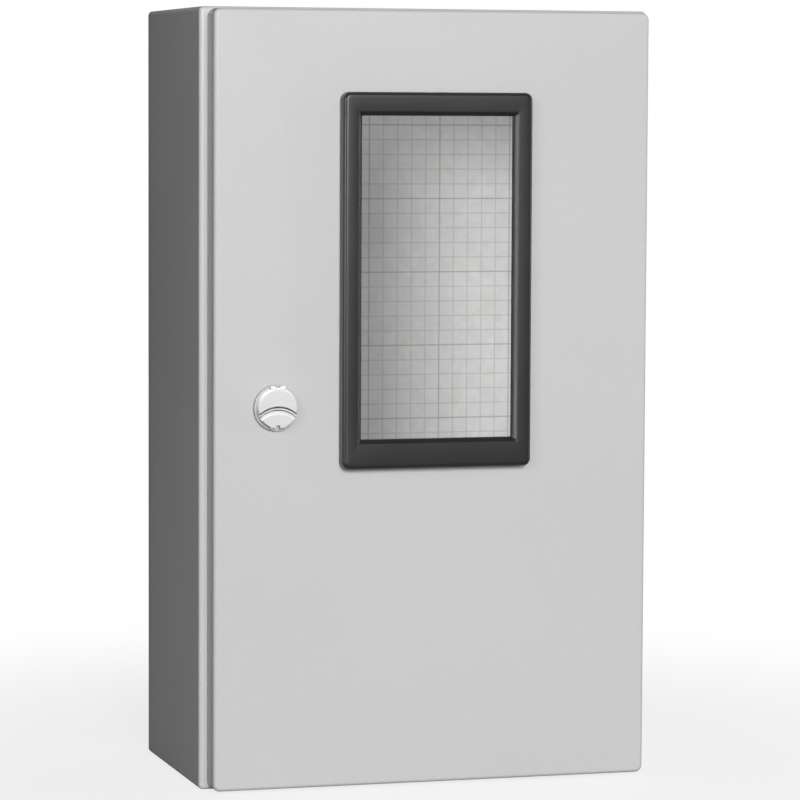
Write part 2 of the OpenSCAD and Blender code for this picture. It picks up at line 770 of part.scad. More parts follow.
module lock_barrel() color([0.66, 0.67, 0.68]) at_lock() difference() {
    union() {
        translate([0, 0, cam_front])
            cylinder(r = barrel_r, h = lock_face - barrel_head_t - cam_front);
        translate([0, 0, lock_face - barrel_head_t])
            cylinder(r = barrel_head_r, h = barrel_head_t - barrel_head_in);
        translate([-tang / 2, -tang / 2, cam_back + tang_in])
            cube([tang, tang, cam_t]);
    }
    difference() {
        translate([0, 0, lock_face - key_hole_depth])
            cylinder(r = key_hole_r, h = key_hole_depth + cut_over);
        translate([0, 0, lock_face - key_hole_depth]) {
            cylinder(r = key_pin_r, h = key_hole_depth - key_pin_in);
            translate([-key_bit_w / 2, -key_bit_t / 2, 0])
                cube([key_bit_w, key_bit_t, key_hole_depth - key_pin_in]);
        }
    }
    translate([0, 0, cam_back - cut_over])
        cylinder(r = cam_screw_r + thread_fit, h = cam_screw_l + 2 * cut_over);
}

module lock_cam() color([0.70, 0.71, 0.70]) at_lock() translate([0, 0, cam_back])
    difference() {
        linear_extrude(cam_t) {
            circle(r = cam_boss_r);
            translate([-cam_tip_w / 2, -cam_l + cam_tip_r]) square([cam_tip_w, cam_l - cam_tip_r]);
            translate([-cam_tip_w / 2 + cam_tip_r, -cam_l])
                square([cam_tip_w - 2 * cam_tip_r, 2 * cam_tip_r]);
            for (side = [-1, 1])
                translate([side * (cam_tip_w / 2 - cam_tip_r), -cam_l + cam_tip_r])
                    circle(r = cam_tip_r);
        }
        translate([-tang / 2 - tang_fit, -tang / 2 - tang_fit, -cut_over])
            cube([tang + 2 * tang_fit, tang + 2 * tang_fit, cam_t + 2 * cut_over]);
    }

module cam_washer() color([0.74, 0.74, 0.72]) at_lock()
    translate([0, 0, cam_back - cam_washer_t]) washer(tang, cam_screw_r + hole_clear, cam_washer_t);

module cam_screw() color([0.74, 0.74, 0.72]) at_lock()
    translate([0, 0, cam_back - cam_washer_t]) mirror([0, 0, 1]) {
        hexagon(cam_head_af, cam_head_h);
        translate([0, 0, -cam_screw_l]) cylinder(r = cam_screw_r, h = cam_screw_l + cam_head_h / 2);
    }

// Arc-edged region below the cover's grip, measured down from a height
module below_arc(height, arc_r) {
    translate([0, height - arc_r]) circle(r = arc_r);
}

// What the housing's lug sweeps in the dust cover as the cover swings open
module lug_sweep() {
    web = lug_web / 2 + lug_clear;
    across = [sin(cover_open), cos(cover_open)] * web;
    along = [-cos(cover_open), sin(cover_open)] * lug_reach;
    cover_cylinder(lug_r + lug_clear, lug_w + 2 * lug_clear);
    translate([-lug_w / 2 - lug_clear, cover_axis_y, cover_axis_depth])
        rotate([90, 0, 90]) linear_extrude(lug_w + 2 * lug_clear)
            polygon([[-web, -lug_reach], [-web, 0], [across[1], across[0]],
                [across[1] + along[1], across[0] + along[0]], [lug_reach, -lug_reach]]);
}

module lock_cover() color([0.90, 0.91, 0.91]) at_lock() difference() {
    union() {
        translate([0, 0, cover_back]) {
            cylinder(r = cover_r, h = cover_t - cover_edge_r);
            translate([0, 0, cover_t - cover_edge_r]) rotate_extrude()
                rim_section(cover_r, cover_edge_r, cover_edge_r);
            translate([-cover_lip_w / 2, cover_lip_cut - cover_r, 0])
                cube([cover_lip_w, cover_lip_l, cover_t - cover_lip_in]);
        }
        cover_cylinder(cover_knuckle_r, cover_knuckle_w);
    }
    // above the axis only the knuckle stays
    translate([0, cover_axis_y, cover_back - cut_over]) difference() {
        translate([-cover_r, 0, 0]) cube([cover_d, cover_r, cover_t + 2 * cut_over]);
        translate([0, -cover_axis_y, -cover_back + cut_over])
            cover_cylinder(cover_knuckle_r, cover_knuckle_w);
    }
    lug_sweep();
    // straight lower edge
    translate([-cover_r, cover_lip_cut - 2 * cover_r, cover_back - cut_over])
        cube([cover_d, cover_r, cover_t + 2 * cut_over]);
    // stepped finger grip
    translate([0, 0, cover_front - grip_top_cut]) linear_extrude(cover_t) difference() {
        below_arc(grip_top, grip_top_r);
        below_arc(grip_end, grip_end_r);
    }
    translate([0, 0, cover_front - grip_step_cut]) linear_extrude(cover_t) difference() {
        below_arc(grip_step, grip_step_r);
        below_arc(grip_end, grip_end_r);
    }
    translate([0, 0, cover_front - grip_end_cut]) linear_extrude(cover_t)
        below_arc(grip_end, grip_end_r);
    // notch for a seal
    translate([0, cover_notch_in - cover_r, cover_back - cut_over])
        cylinder(r = cover_notch_r, h = cover_t + 2 * cut_over);
    // hollow behind, over the barrel
    translate([0, 0, cover_back - cut_over])
        cylinder(r = barrel_head_r + cover_hollow_clear, h = cut_over + cover_hollow_h);
    cover_cylinder(cover_pin_r + cover_pin_fit, 4 * cover_r);
}

module cover_pin() color([0.68, 0.69, 0.70]) at_lock()
    cover_cylinder(cover_pin_r, cover_knuckle_w - 2 * cover_pin_in);

// ---- earth studs ----

// Welded stud with a collar, drawn upwards
module earth_stud() {
    cylinder(r = earth_stud_r, h = earth_stud_l);
    cylinder(r = earth_stud_r + earth_collar_over, h = earth_collar_t);
}

module at_body_earth(out) {
    translate([-body_w / 2 + sheet_t + out, -body_earth_depth, body_earth_z])
        rotate([0, 90, 0]) children();
}

module at_door_earth(out) {
    upright() translate([door_earth_x, door_earth_z, door_inner - out])
        mirror([0, 0, 1]) children();
}

module body_earth_stud() color([0.78, 0.66, 0.36]) at_body_earth(0) earth_stud();
module body_earth_washer() color([0.74, 0.74, 0.72]) at_body_earth(earth_collar_t)
    washer(earth_nut_af / 2 + earth_washer_over, earth_stud_r + hole_clear, earth_washer_t);
module body_earth_nut() color([0.78, 0.66, 0.36])
    at_body_earth(earth_collar_t + earth_washer_t)
        hexagon(earth_nut_af, earth_nut_h, earth_stud_r + thread_fit);
module door_earth_stud() color([0.78, 0.66, 0.36]) at_door_earth(0) earth_stud();
module door_earth_washer() color([0.74, 0.74, 0.72]) at_door_earth(earth_collar_t)
    washer(earth_nut_af / 2 + earth_washer_over, earth_stud_r + hole_clear, earth_washer_t);
module door_earth_nut() color([0.78, 0.66, 0.36])
    at_door_earth(earth_collar_t + earth_washer_t)
        hexagon(earth_nut_af, earth_nut_h, earth_stud_r + thread_fit);

wrapper();
back_panel();
mounting_plate();
plate_studs();
plate_spacers();
plate_washers();
plate_nuts();
gland_plate();
gland_gasket();
gland_studs();
gland_nuts();
hinge_bracket_upper();
hinge_bracket_lower();
bracket_screws();
body_earth_stud();
body_earth_nut();
body_earth_washer();
door_panel();
door_seal();
hinge_leaf_upper();
hinge_leaf_lower();
leaf_nuts();
hinge_pin_upper();
hinge_pin_lower();
window_frame();
window_seal();
pane_seal();
window_pane();
window_retainer();
window_screws();
door_earth_stud();
door_earth_nut();
door_earth_washer();
lock_housing();
lock_seal();
lock_nut();
cover_pin();
lock_barrel();
lock_cam();
cam_washer();
cam_screw();
lock_cover();
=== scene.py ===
import json
import math
import random

import bmesh
import bpy
from mathutils import Matrix, Vector


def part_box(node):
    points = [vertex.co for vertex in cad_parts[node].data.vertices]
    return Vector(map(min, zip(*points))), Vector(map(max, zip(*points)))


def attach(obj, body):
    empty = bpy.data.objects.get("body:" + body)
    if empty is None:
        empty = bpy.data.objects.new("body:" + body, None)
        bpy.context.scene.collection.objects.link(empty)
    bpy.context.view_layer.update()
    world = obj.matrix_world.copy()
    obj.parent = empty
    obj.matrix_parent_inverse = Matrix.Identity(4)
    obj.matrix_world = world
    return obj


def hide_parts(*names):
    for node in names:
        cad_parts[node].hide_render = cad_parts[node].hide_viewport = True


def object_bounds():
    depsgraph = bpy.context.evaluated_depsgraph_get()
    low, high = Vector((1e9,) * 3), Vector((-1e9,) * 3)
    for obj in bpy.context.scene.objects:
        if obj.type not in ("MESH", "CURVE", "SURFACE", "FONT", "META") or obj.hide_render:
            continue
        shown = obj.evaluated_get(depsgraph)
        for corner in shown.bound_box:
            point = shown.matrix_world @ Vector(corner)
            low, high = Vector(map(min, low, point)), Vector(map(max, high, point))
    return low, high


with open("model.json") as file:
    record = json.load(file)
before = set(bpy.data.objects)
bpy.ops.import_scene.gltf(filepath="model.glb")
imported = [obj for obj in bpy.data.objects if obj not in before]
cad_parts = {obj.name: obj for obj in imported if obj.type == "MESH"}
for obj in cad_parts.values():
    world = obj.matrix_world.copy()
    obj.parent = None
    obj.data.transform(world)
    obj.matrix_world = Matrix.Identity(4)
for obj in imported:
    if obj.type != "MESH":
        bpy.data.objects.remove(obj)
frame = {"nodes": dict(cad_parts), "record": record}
nodes = frame["nodes"]
cadLow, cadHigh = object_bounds()
print("frame loaded:", len(nodes), "nodes")

mm = 0.001
front = Matrix.Rotation(math.radians(90), 4, "X")  # front view drawn flat in x and y, forwards is z
centre = (cadLow + cadHigh) / 2
random.seed(11)


def middle(node):
    low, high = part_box(node)
    return (low + high) / 2


# node groups that several materials use
def newGroup(name, inputs, outputs):
    group = bpy.data.node_groups.new(name, "ShaderNodeTree")
    for label, kind, value in inputs:
        socket = group.interface.new_socket(label, in_out="INPUT", socket_type="NodeSocket" + kind)
        if value is not None:
            socket.default_value = value
    for label, kind in outputs:
        group.interface.new_socket(label, in_out="OUTPUT", socket_type="NodeSocket" + kind)
    return group, group.nodes.new("NodeGroupInput"), group.nodes.new("NodeGroupOutput")


def addNode(tree, kind, values=None, **settings):
    # a node with these socket values and settings
    node = tree.nodes.new("ShaderNode" + kind)
    for key, value in settings.items():
        setattr(node, key, value)
    for key, value in (values or {}).items():
        node.inputs[key].default_value = value
    return node


def wire(tree, *pairs):
    # joins the two sockets of each pair
    for start, end in pairs:
        tree.links.new(start, end)


def makeGrain():
    # fine bumps under a slow waviness, as on sprayed or moulded surfaces
    group, start, end = newGroup(
        "grain",
        [("Vector", "Vector", None), ("Size", "Float", 1.0), ("Wave", "Float", 0.3)],
        [("Height", "Float"), ("Fleck", "Float")])
    scale = addNode(group, "Math", {0: 1 / mm}, operation="DIVIDE")
    fine = addNode(group, "TexNoise", {"Detail": 3.0, "Roughness": 0.55})
    waves = addNode(group, "TexNoise", {"Scale": 45.0, "Detail": 1.0})
    mix = addNode(group, "Mix", data_type="FLOAT")
    wire(group,
         (start.outputs["Size"], scale.inputs[1]),
         (start.outputs["Vector"], fine.inputs["Vector"]),
         (scale.outputs[0], fine.inputs["Scale"]),
         (start.outputs["Vector"], waves.inputs["Vector"]),
         (start.outputs["Wave"], mix.inputs["Factor"]),
         (fine.outputs["Fac"], mix.inputs["A"]),
         (waves.outputs["Fac"], mix.inputs["B"]),
         (mix.outputs["Result"], end.inputs["Height"]),
         (fine.outputs["Fac"], end.inputs["Fleck"]))
    return group


def makeTone():
    # a colour that drifts a little between a darker and a lighter tone
    group, start, end = newGroup(
        "tone",
        [("Vector", "Vector", None), ("Colour", "Color", (0.5, 0.5, 0.5, 1)),
         ("Spread", "Float", 0.05), ("Scale", "Float", 8.0), ("Fleck", "Float", 0.5),
         ("Fleck Spread", "Float", 0.02)],
        [("Colour", "Color"), ("Drift", "Float")])
    cloud = addNode(group, "TexNoise", {"Detail": 4.0, "Roughness": 0.6})
    evenly = {"From Min": 0.3, "From Max": 0.7, "To Min": -1.0}  # brings a noise to -1 to 1
    drift = addNode(group, "MapRange", evenly)
    fleck = addNode(group, "MapRange", evenly)
    wide = addNode(group, "Math", operation="MULTIPLY")
    small = addNode(group, "Math", operation="MULTIPLY")
    both = addNode(group, "Math", operation="ADD")
    level = addNode(group, "Math", {1: 1.0}, operation="ADD")
    shade = addNode(group, "VectorMath", operation="SCALE")
    wire(group,
         (start.outputs["Vector"], cloud.inputs["Vector"]),
         (start.outputs["Scale"], cloud.inputs["Scale"]),
         (cloud.outputs["Fac"], drift.inputs["Value"]),
         (start.outputs["Fleck"], fleck.inputs["Value"]),
         (drift.outputs["Result"], wide.inputs[0]), (start.outputs["Spread"], wide.inputs[1]),
         (fleck.outputs["Result"], small.inputs[0]),
         (start.outputs["Fleck Spread"], small.inputs[1]),
         (wide.outputs[0], both.inputs[0]), (small.outputs[0], both.inputs[1]),
         (both.outputs[0], level.inputs[0]),
         (start.outputs["Colour"], shade.inputs[0]), (level.outputs[0], shade.inputs["Scale"]),
         (shade.outputs[0], end.inputs["Colour"]),
         (drift.outputs["Result"], end.inputs["Drift"]))
    return group


def makeLines():
    # thin ruled lines that repeat along one direction
    group, start, end = newGroup(
        "lines",
        [("Place", "Float", 0.0), ("Pitch", "Float", 10.0), ("Shift", "Float", 0.0),
         ("Width", "Float", 0.4)],
        [("Mask", "Float")])
    millimetres = addNode(group, "Math", {1: 1 / mm}, operation="MULTIPLY")
    shift = addNode(group, "Math", operation="ADD")
    half = addNode(group, "Math", {1: 0.5}, operation="MULTIPLY")
    wave = addNode(group, "Math", operation="PINGPONG")
    edge = addNode(group, "MapRange", {"From Min": 0.0, "To Min": 1.0, "To Max": 0.0})
    wire(group,
         (start.outputs["Place"], millimetres.inputs[0]),
         (millimetres.outputs[0], shift.inputs[0]), (start.outputs["Shift"], shift.inputs[1]),
         (start.outputs["Pitch"], half.inputs[0]),
         (shift.outputs[0], wave.inputs[0]), (half.outputs[0], wave.inputs[1]),
         (wave.outputs[0], edge.inputs["Value"]), (start.outputs["Width"], edge.inputs["From Max"]),
         (edge.outputs["Result"], end.inputs["Mask"]))
    return group


grain = makeGrain()
tone = makeTone()
lines = makeLines()
print("node groups made")


def newMaterial(name, values):
    # a material, its tree, its shader with these socket values, and its coordinates
    material = bpy.data.materials.new(name)
    material.use_nodes = True
    tree = material.node_tree
    shader = tree.nodes["Principled BSDF"]
    for key, value in values.items():
        shader.inputs[key].default_value = value
    place = tree.nodes.new("ShaderNodeTexCoord").outputs["Object"]
    return material, tree, shader, place


def useGroup(tree, group, **values):
    # places a node group; an underscore in a name stands for a space
    node = tree.nodes.new("ShaderNodeGroup")
    node.node_tree = group
    for key, value in values.items():
        node.inputs[key.replace("_", " ")].default_value = value
    return node


def addFinish(tree, shader, place, look):
    # grain bumps, drifting tone and a roughness that follows it
    fine = useGroup(tree, grain, Size=look["grain"], Wave=look["wave"])
    shade = useGroup(tree, tone, Colour=(*look["colour"], 1), Spread=look["spread"],
                     Scale=look.get("cloud", 8.0), Fleck_Spread=look["fleck"])
    bump = addNode(tree, "Bump", {"Strength": look["bump"], "Distance": look["depth"] * mm})
    rough = addNode(tree, "MapRange", {"From Min": -1.0, "To Min": look["rough"][0],
                                       "To Max": look["rough"][1]})
    wire(tree,
         (place, fine.inputs["Vector"]), (place, shade.inputs["Vector"]),
         (fine.outputs["Fleck"], shade.inputs["Fleck"]),
         (fine.outputs["Height"], bump.inputs["Height"]),
         (shade.outputs["Drift"], rough.inputs["Value"]),
         (shade.outputs["Colour"], shader.inputs["Base Color"]),
         (rough.outputs["Result"], shader.inputs["Roughness"]),
         (bump.outputs["Normal"], shader.inputs["Normal"]))
    return shade, bump


def plainFinish(name, look, values):
    material, tree, shader, place = newMaterial(name, values)
    addFinish(tree, shader, place, look)
    return material


powderLook = {
    "colour": (0.62, 0.625, 0.62),  # pale grey powder coat
    "grain": 1.1, "wave": 0.35, "spread": 0.012, "fleck": 0.02,
    "bump": 0.3, "depth": 0.05, "rough": (0.30, 0.36),
}
# gloss of the powder coat's skin
clearTop = {"Specular IOR Level": 0.22, "Coat Weight": 0.22, "Coat Roughness": 0.18}
plasticLook = {
    "colour": (0.020, 0.020, 0.0205),  # black glass-filled plastic
    "grain": 0.35, "wave": 0.1, "spread": 0.06, "fleck": 0.10,
    "bump": 0.2, "depth": 0.04, "rough": (0.28, 0.36),
}
coverLook = {
    "colour": (0.70, 0.705, 0.70),  # light grey moulded plastic
    "grain": 0.3, "wave": 0.1, "spread": 0.02, "fleck": 0.02,
    "bump": 0.15, "depth": 0.03, "rough": (0.22, 0.34),
}
lockLook = {
    "colour": (0.50, 0.50, 0.505),  # satin die-cast metal
    "grain": 0.25, "wave": 0.2, "spread": 0.05, "fleck": 0.05,
    "bump": 0.2, "depth": 0.03, "rough": (0.36, 0.5),
}
zincLook = {
    "colour": (0.60, 0.61, 0.63),  # bright zinc plating
    "grain": 0.5, "wave": 0.5, "spread": 0.10, "fleck": 0.08, "cloud": 160.0,
    "bump": 0.2, "depth": 0.03, "rough": (0.24, 0.42),
}
steelLook = {
    "colour": (0.46, 0.465, 0.475),  # zinc-plated pressed steel
    "grain": 0.4, "wave": 0.5, "spread": 0.12, "fleck": 0.08, "cloud": 90.0,
    "bump": 0.25, "depth": 0.04, "rough": (0.30, 0.50),
}
brassLook = {
    "colour": (0.72, 0.56, 0.27),  # drawn brass, a little dull
    "grain": 0.5, "wave": 0.5, "spread": 0.12, "fleck": 0.06, "cloud": 120.0,
    "bump": 0.2, "depth": 0.03, "rough": (0.26, 0.44),
}
rubberLook = {
    "colour": (0.022, 0.022, 0.023),  # black rubber with a dusty bloom
    "grain": 0.6, "wave": 0.4, "spread": 0.25, "fleck": 0.15, "cloud": 60.0,
    "bump": 0.3, "depth": 0.05, "rough": (0.62, 0.82),
}
weldLook = {"width": 1.6, "ripple": 160.0, "strength": 0.5, "depth": 0.3}  # width and depth in mm


def makeBodyPaint():
    # powder coat, with the ground weld of the back pan just showing through it
    material, tree, shader, place = newMaterial("bodyPaint", clearTop)
    bump = addFinish(tree, shader, place, powderLook)[1]
    split = addNode(tree, "SeparateXYZ")
    off = addNode(tree, "Math", {1: -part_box("back_panel")[0].y}, operation="ADD")
    away = addNode(tree, "Math", operation="ABSOLUTE")
    band = addNode(tree, "MapRange",
                   {"From Max": weldLook["width"] * mm, "To Min": 1.0, "To Max": 0.0},
                   interpolation_type="SMOOTHSTEP")
    ripple = addNode(tree, "TexNoise", {"Scale": weldLook["ripple"], "Detail": 2.0})
    ground = addNode(tree, "Math", operation="MULTIPLY")
    seam = addNode(tree, "Bump", {"Strength": weldLook["strength"],
                                  "Distance": weldLook["depth"] * mm})
    wire(tree, (place, split.inputs[0]), (split.outputs["Y"], off.inputs[0]),
         (off.outputs[0], away.inputs[0]), (away.outputs[0], band.inputs["Value"]),
         (place, ripple.inputs["Vector"]), (ripple.outputs["Fac"], ground.inputs[0]),
         (band.outputs["Result"], ground.inputs[1]), (ground.outputs[0], seam.inputs["Height"]),
         (bump.outputs["Normal"], seam.inputs["Normal"]),
         (seam.outputs["Normal"], shader.inputs["Normal"]))
    return material


foamLook = {
    "colour": (0.030, 0.030, 0.031),  # dark poured foam
    "grain": 0.9, "wave": 0.2, "spread": 0.18, "fleck": 0.15, "cloud": 50.0,
    "bump": 0.3, "depth": 0.1, "rough": (0.78, 0.92),
    "cells": 1400.0, "pits": 0.6, "pitDepth": 0.25,
}


def makeFoam():
    # skin with open and closed cells
    material, tree, shader, place = newMaterial("foam", {})
    bump = addFinish(tree, shader, place, foamLook)[1]
    cells = addNode(tree, "TexVoronoi", {"Scale": foamLook["cells"], "Randomness": 1.0})
    pits = addNode(tree, "Bump", {"Strength": foamLook["pits"],
                                  "Distance": foamLook["pitDepth"] * mm})
    wire(tree, (place, cells.inputs["Vector"]), (cells.outputs["Distance"], pits.inputs["Height"]),
         (bump.outputs["Normal"], pits.inputs["Normal"]),
         (pits.outputs["Normal"], shader.inputs["Normal"]))
    return material


sheetLook = {
    "colour": (0.61, 0.608, 0.604),  # galvanised sheet
    "grain": 0.7, "wave": 0.4, "spread": 0.04, "fleck": 0.03, "cloud": 14.0,
    "bump": 0.12, "depth": 0.03, "rough": (0.48, 0.60),
    "crystals": 170.0, "spangle": (0.95, 1.05),
}
gridLook = {
    "minor": 10.0, "major": 50.0,      # fine and heavy lines, mm apart
    "minorX": 0.0, "minorZ": 5.0,      # where the lines start, mm
    "majorX": 0.0, "majorZ": 25.0,
    "minorWidth": 0.55, "majorWidth": 0.70,
    "minorDark": 0.30, "majorDark": 0.48,
}


def makeGalvanised():
    # zinc crystals of a few millimetres, and the marking grid printed over them
    material, tree, shader, place = newMaterial("galvanised", {})
    shade = addFinish(tree, shader, place, sheetLook)[0]
    crystals = addNode(tree, "TexVoronoi", {"Scale": sheetLook["crystals"], "Randomness": 1.0})
    dull, bright = sheetLook["spangle"]
    spangle = addNode(tree, "MapRange", {"To Min": dull, "To Max": bright})
    glint = addNode(tree, "VectorMath", operation="SCALE")
    split = addNode(tree, "SeparateXYZ")
    wire(tree, (place, crystals.inputs["Vector"]), (place, split.inputs[0]),
         (crystals.outputs["Color"], spangle.inputs["Value"]),
         (shade.outputs["Colour"], glint.inputs[0]),
         (spangle.outputs["Result"], glint.inputs["Scale"]))
    darkest = None
    for axis, size in (("X", "minor"), ("Z", "minor"), ("X", "major"), ("Z", "major")):
        ruled = useGroup(tree, lines, Pitch=gridLook[size], Shift=gridLook[size + axis],
                         Width=gridLook[size + "Width"])
        dark = addNode(tree, "Math", {1: gridLook[size + "Dark"]}, operation="MULTIPLY")
        wire(tree, (split.outputs[axis], ruled.inputs["Place"]),
             (ruled.outputs["Mask"], dark.inputs[0]))
        if darkest:
            most = addNode(tree, "Math", operation="MAXIMUM")
            wire(tree, (darkest, most.inputs[0]), (dark.outputs[0], most.inputs[1]))
            darkest = most.outputs[0]
        else:
            darkest = dark.outputs[0]
    light = addNode(tree, "Math", {0: 1.0}, operation="SUBTRACT")
    printed = addNode(tree, "VectorMath", operation="SCALE")
    wire(tree, (darkest, light.inputs[1]), (glint.outputs[0], printed.inputs[0]),
         (light.outputs[0], printed.inputs["Scale"]),
         (printed.outputs[0], shader.inputs["Base Color"]))
    return material


glassLook = {
    "index": 1.45, "smear": 30.0, "haze": 0.05,
    "tint": (0.95, 0.99), "shadow": 0.97,  # light that passes, seen and in shadows
}


def makeGlass():
    # clear pane that still lets the lamps light the plate behind it
    material, tree, shader, place = newMaterial(
        "glass", {"Transmission Weight": 1.0, "IOR": glassLook["index"]})
    smear = addNode(tree, "TexNoise", {"Scale": glassLook["smear"], "Detail": 3.0})
    rough = addNode(tree, "MapRange", {"From Min": 0.4, "From Max": 0.8, "To Min": 0.0,
                                       "To Max": glassLook["haze"]})
    least, most = glassLook["tint"]
    tint = addNode(tree, "MapRange", {"To Min": least, "To Max": most})
    colour = addNode(tree, "CombineColor")
    path = tree.nodes.new("ShaderNodeLightPath")
    clear = addNode(tree, "BsdfTransparent", {"Color": (*[glassLook["shadow"]] * 3, 1)})
    mix = tree.nodes.new("ShaderNodeMixShader")
    out = tree.nodes["Material Output"]
    wire(tree, (place, smear.inputs["Vector"]), (smear.outputs["Fac"], rough.inputs["Value"]),
         (smear.outputs["Fac"], tint.inputs["Value"]),
         (rough.outputs["Result"], shader.inputs["Roughness"]),
         (tint.outputs["Result"], colour.inputs[0]), (tint.outputs["Result"], colour.inputs[1]),
         (tint.outputs["Result"], colour.inputs[2]),
         (colour.outputs[0], shader.inputs["Base Color"]),
         (path.outputs["Is Shadow Ray"], mix.inputs[0]),
         (shader.outputs[0], mix.inputs[1]), (clear.outputs[0], mix.inputs[2]),
         (mix.outputs[0], out.inputs["Surface"]))
    return material


finishes = {
    "body_paint": makeBodyPaint(),
    "door_paint": plainFinish("doorPaint", powderLook, clearTop),
    "galvanised_sheet": makeGalvanised(),
    "zinc_fasteners": plainFinish("zinc", zincLook, {"Metallic": 1.0}),
    "hinge_steel": plainFinish("hingeSteel", steelLook, {"Metallic": 0.9}),
    "brass_studs": plainFinish("brass", brassLook, {"Metallic": 1.0}),
    "lock_metal": plainFinish("lockMetal", lockLook, {"Metallic": 0.3}),
    "black_plastic": plainFinish("blackPlastic", plasticLook, {}),
    "cover_plastic": plainFinish("coverPlastic", coverLook, {}),
    "clear_pane": makeGlass(),
    "seal_foam": makeFoam(),
    "seal_rubber": plainFinish("rubber", rubberLook, {}),
}
slotOf = {record["node"]: record["material_slot"] for record in frame["record"]["subparts"]}
bodyOf = {node: body for body, members in frame["record"]["behaviour"]["bodies"].items()
          for node in members}
for node, item in nodes.items():
    item.data.materials.clear()
    item.data.materials.append(finishes[slotOf[node]])
print("materials made:", len(bpy.data.materials))

mergeGap = {"node": 0.003, "seam": 0.01, "turned": 0.001}  # points this close are merged, mm
flatAngle = 0.3  # faces that differ by less are joined, degrees
sharpAngle = {   # edges that turn by more stay sharp, degrees
    "sheet": 32, "frame": 25, "seal": 50, "foam": 70, "turned": 28, "pin": 35,
}


def takeNode(node):
    # merged copy of a CAD node's mesh, with its flat triangles joined
    bm = bmesh.new()
    bm.from_mesh(nodes[node].data)
    bmesh.ops.remove_doubles(bm, verts=bm.verts, dist=mergeGap["node"] * mm)
    bmesh.ops.dissolve_limit(bm, angle_limit=math.radians(flatAngle), verts=bm.verts,
                             edges=bm.edges)
    return bm


def addCopy(bm, matrix, target):
    # adds a copy of one shape to another mesh
    mesh = bpy.data.meshes.new("part")
    bm.to_mesh(mesh)
    mesh.transform(matrix)
    target.from_mesh(mesh)
    bpy.data.meshes.remove(mesh)


def addPiece(bm, name, replaced, kind="sheet", modifiers=()):
    # finished piece in place of some nodes, with the body and the finish of the first
    node, sharp = replaced[0], sharpAngle[kind]
    for face in bm.faces:
        face.smooth = True
    for edge in bm.edges:
        edge.smooth = edge.calc_face_angle(math.pi) < math.radians(sharp)
    mesh = bpy.data.meshes.new(name)
    bm.to_mesh(mesh)
    bm.free()
    piece = bpy.data.objects.new(name, mesh)
    bpy.context.scene.collection.objects.link(piece)
    mesh.materials.append(finishes[slotOf[node]])
    for label, settings in modifiers:
        modifier = piece.modifiers.new(label.lower(), label)
        for key, value in settings.items():
            setattr(modifier, key, value)
    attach(piece, bodyOf[node])
    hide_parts(*replaced)
    return piece


def edgeRound(width, segments=2, angle=30):
    # rounded sheet and moulding edges, with shading that keeps the flats flat
    return [("BEVEL", {"width": width * mm, "segments": segments, "limit_method": "ANGLE",
                       "angle_limit": math.radians(angle), "harden_normals": True,
                       "use_clamp_overlap": True})]


cameraSetup = {
    "azimuth": -16.41, "elevation": 4.44, "roll": 0.27,  # degrees
    "distance": 2.5, "lens": 169.1, "sensor": 36,        # metres, then mm
    "aim": (0.0037, -0.080, -0.00725),
}


def direction(azimuth, elevation):
    # unit vector out towards a camera or lamp: azimuth 0 is in front, positive to the right
    side, rise = math.radians(azimuth), math.radians(elevation)
    return Vector((math.sin(side) * math.cos(rise), -math.cos(side) * math.cos(rise),
                   math.sin(rise)))


def makeCamera(setup):
    data = bpy.data.cameras.new("camera")
    data.lens = setup["lens"]
    data.sensor_width = setup["sensor"]
    camera = bpy.data.objects.new("camera", data)
    bpy.context.scene.collection.objects.link(camera)
    back = direction(setup["azimuth"], setup["elevation"])
    roll = Matrix.Rotation(math.radians(setup["roll"]), 4, "Z")
    camera.matrix_world = (Matrix.Translation(Vector(setup["aim"]) + back * setup["distance"])
                           @ (-back).to_track_quat("-Z", "Y").to_matrix().to_4x4() @ roll)
    bpy.context.scene.camera = camera


lamps = {  # angles in degrees, distances and sizes in metres, power in watts
    "key": {"azimuth": -8, "elevation": 10, "distance": 10.0, "size": 2.2, "power": 470},
    "soft": {"azimuth": -3, "elevation": 22, "distance": 8.0, "size": 4.4, "power": 294},
    "top": {"azimuth": 150, "elevation": 82, "distance": 2.4, "size": 1.5, "power": 1.5},
    "leftStrip": {"azimuth": -66, "elevation": 6, "distance": 2.6, "size": 0.25, "height": 1.7,
                  "power": 4.6},
    "rightStrip": {"azimuth": 72, "elevation": 6, "distance": 2.6, "size": 0.14, "height": 1.7,
                   "power": 7},
    "back": {"azimuth": 114, "elevation": 26, "distance": 3.2, "size": 2.4, "power": 20},
}
plateLamps = {  # these light the mounting plate alone, and key and soft leave it out
    "plateKey": {"azimuth": -30, "elevation": 10, "distance": 2.4, "size": 0.82, "power": 51},
    "plateFill": {"azimuth": -55, "elevation": 30, "distance": 4.0, "size": 2.0, "power": 140,
                  "shadow": False},
}
doorLamps = {  # the door has its own pair, for the soft shadow beside the window frame
    "doorKey": {"azimuth": -3, "elevation": 15, "distance": 9.0, "size": 2.9, "power": 625},
    "doorSide": {"azimuth": -42, "elevation": 18, "distance": 8.0, "size": 3.5, "power": 105},
}
trimLamps = {  # narrow lamps for the glints along mouldings
    "trimLeft": {"azimuth": -67, "elevation": 4, "distance": 2.2, "size": 0.45, "height": 1.6,
                 "power": 27},
    "trimRight": {"azimuth": 88, "elevation": 4, "distance": 2.2, "size": 0.20, "height": 1.6,
                  "power": 8},
}
coverLamps = {  # a higher lamp that shows the relief of the dust cover
    "coverKey": {"azimuth": -14, "elevation": 48, "distance": 2.2, "size": 0.30, "power": 70},
}


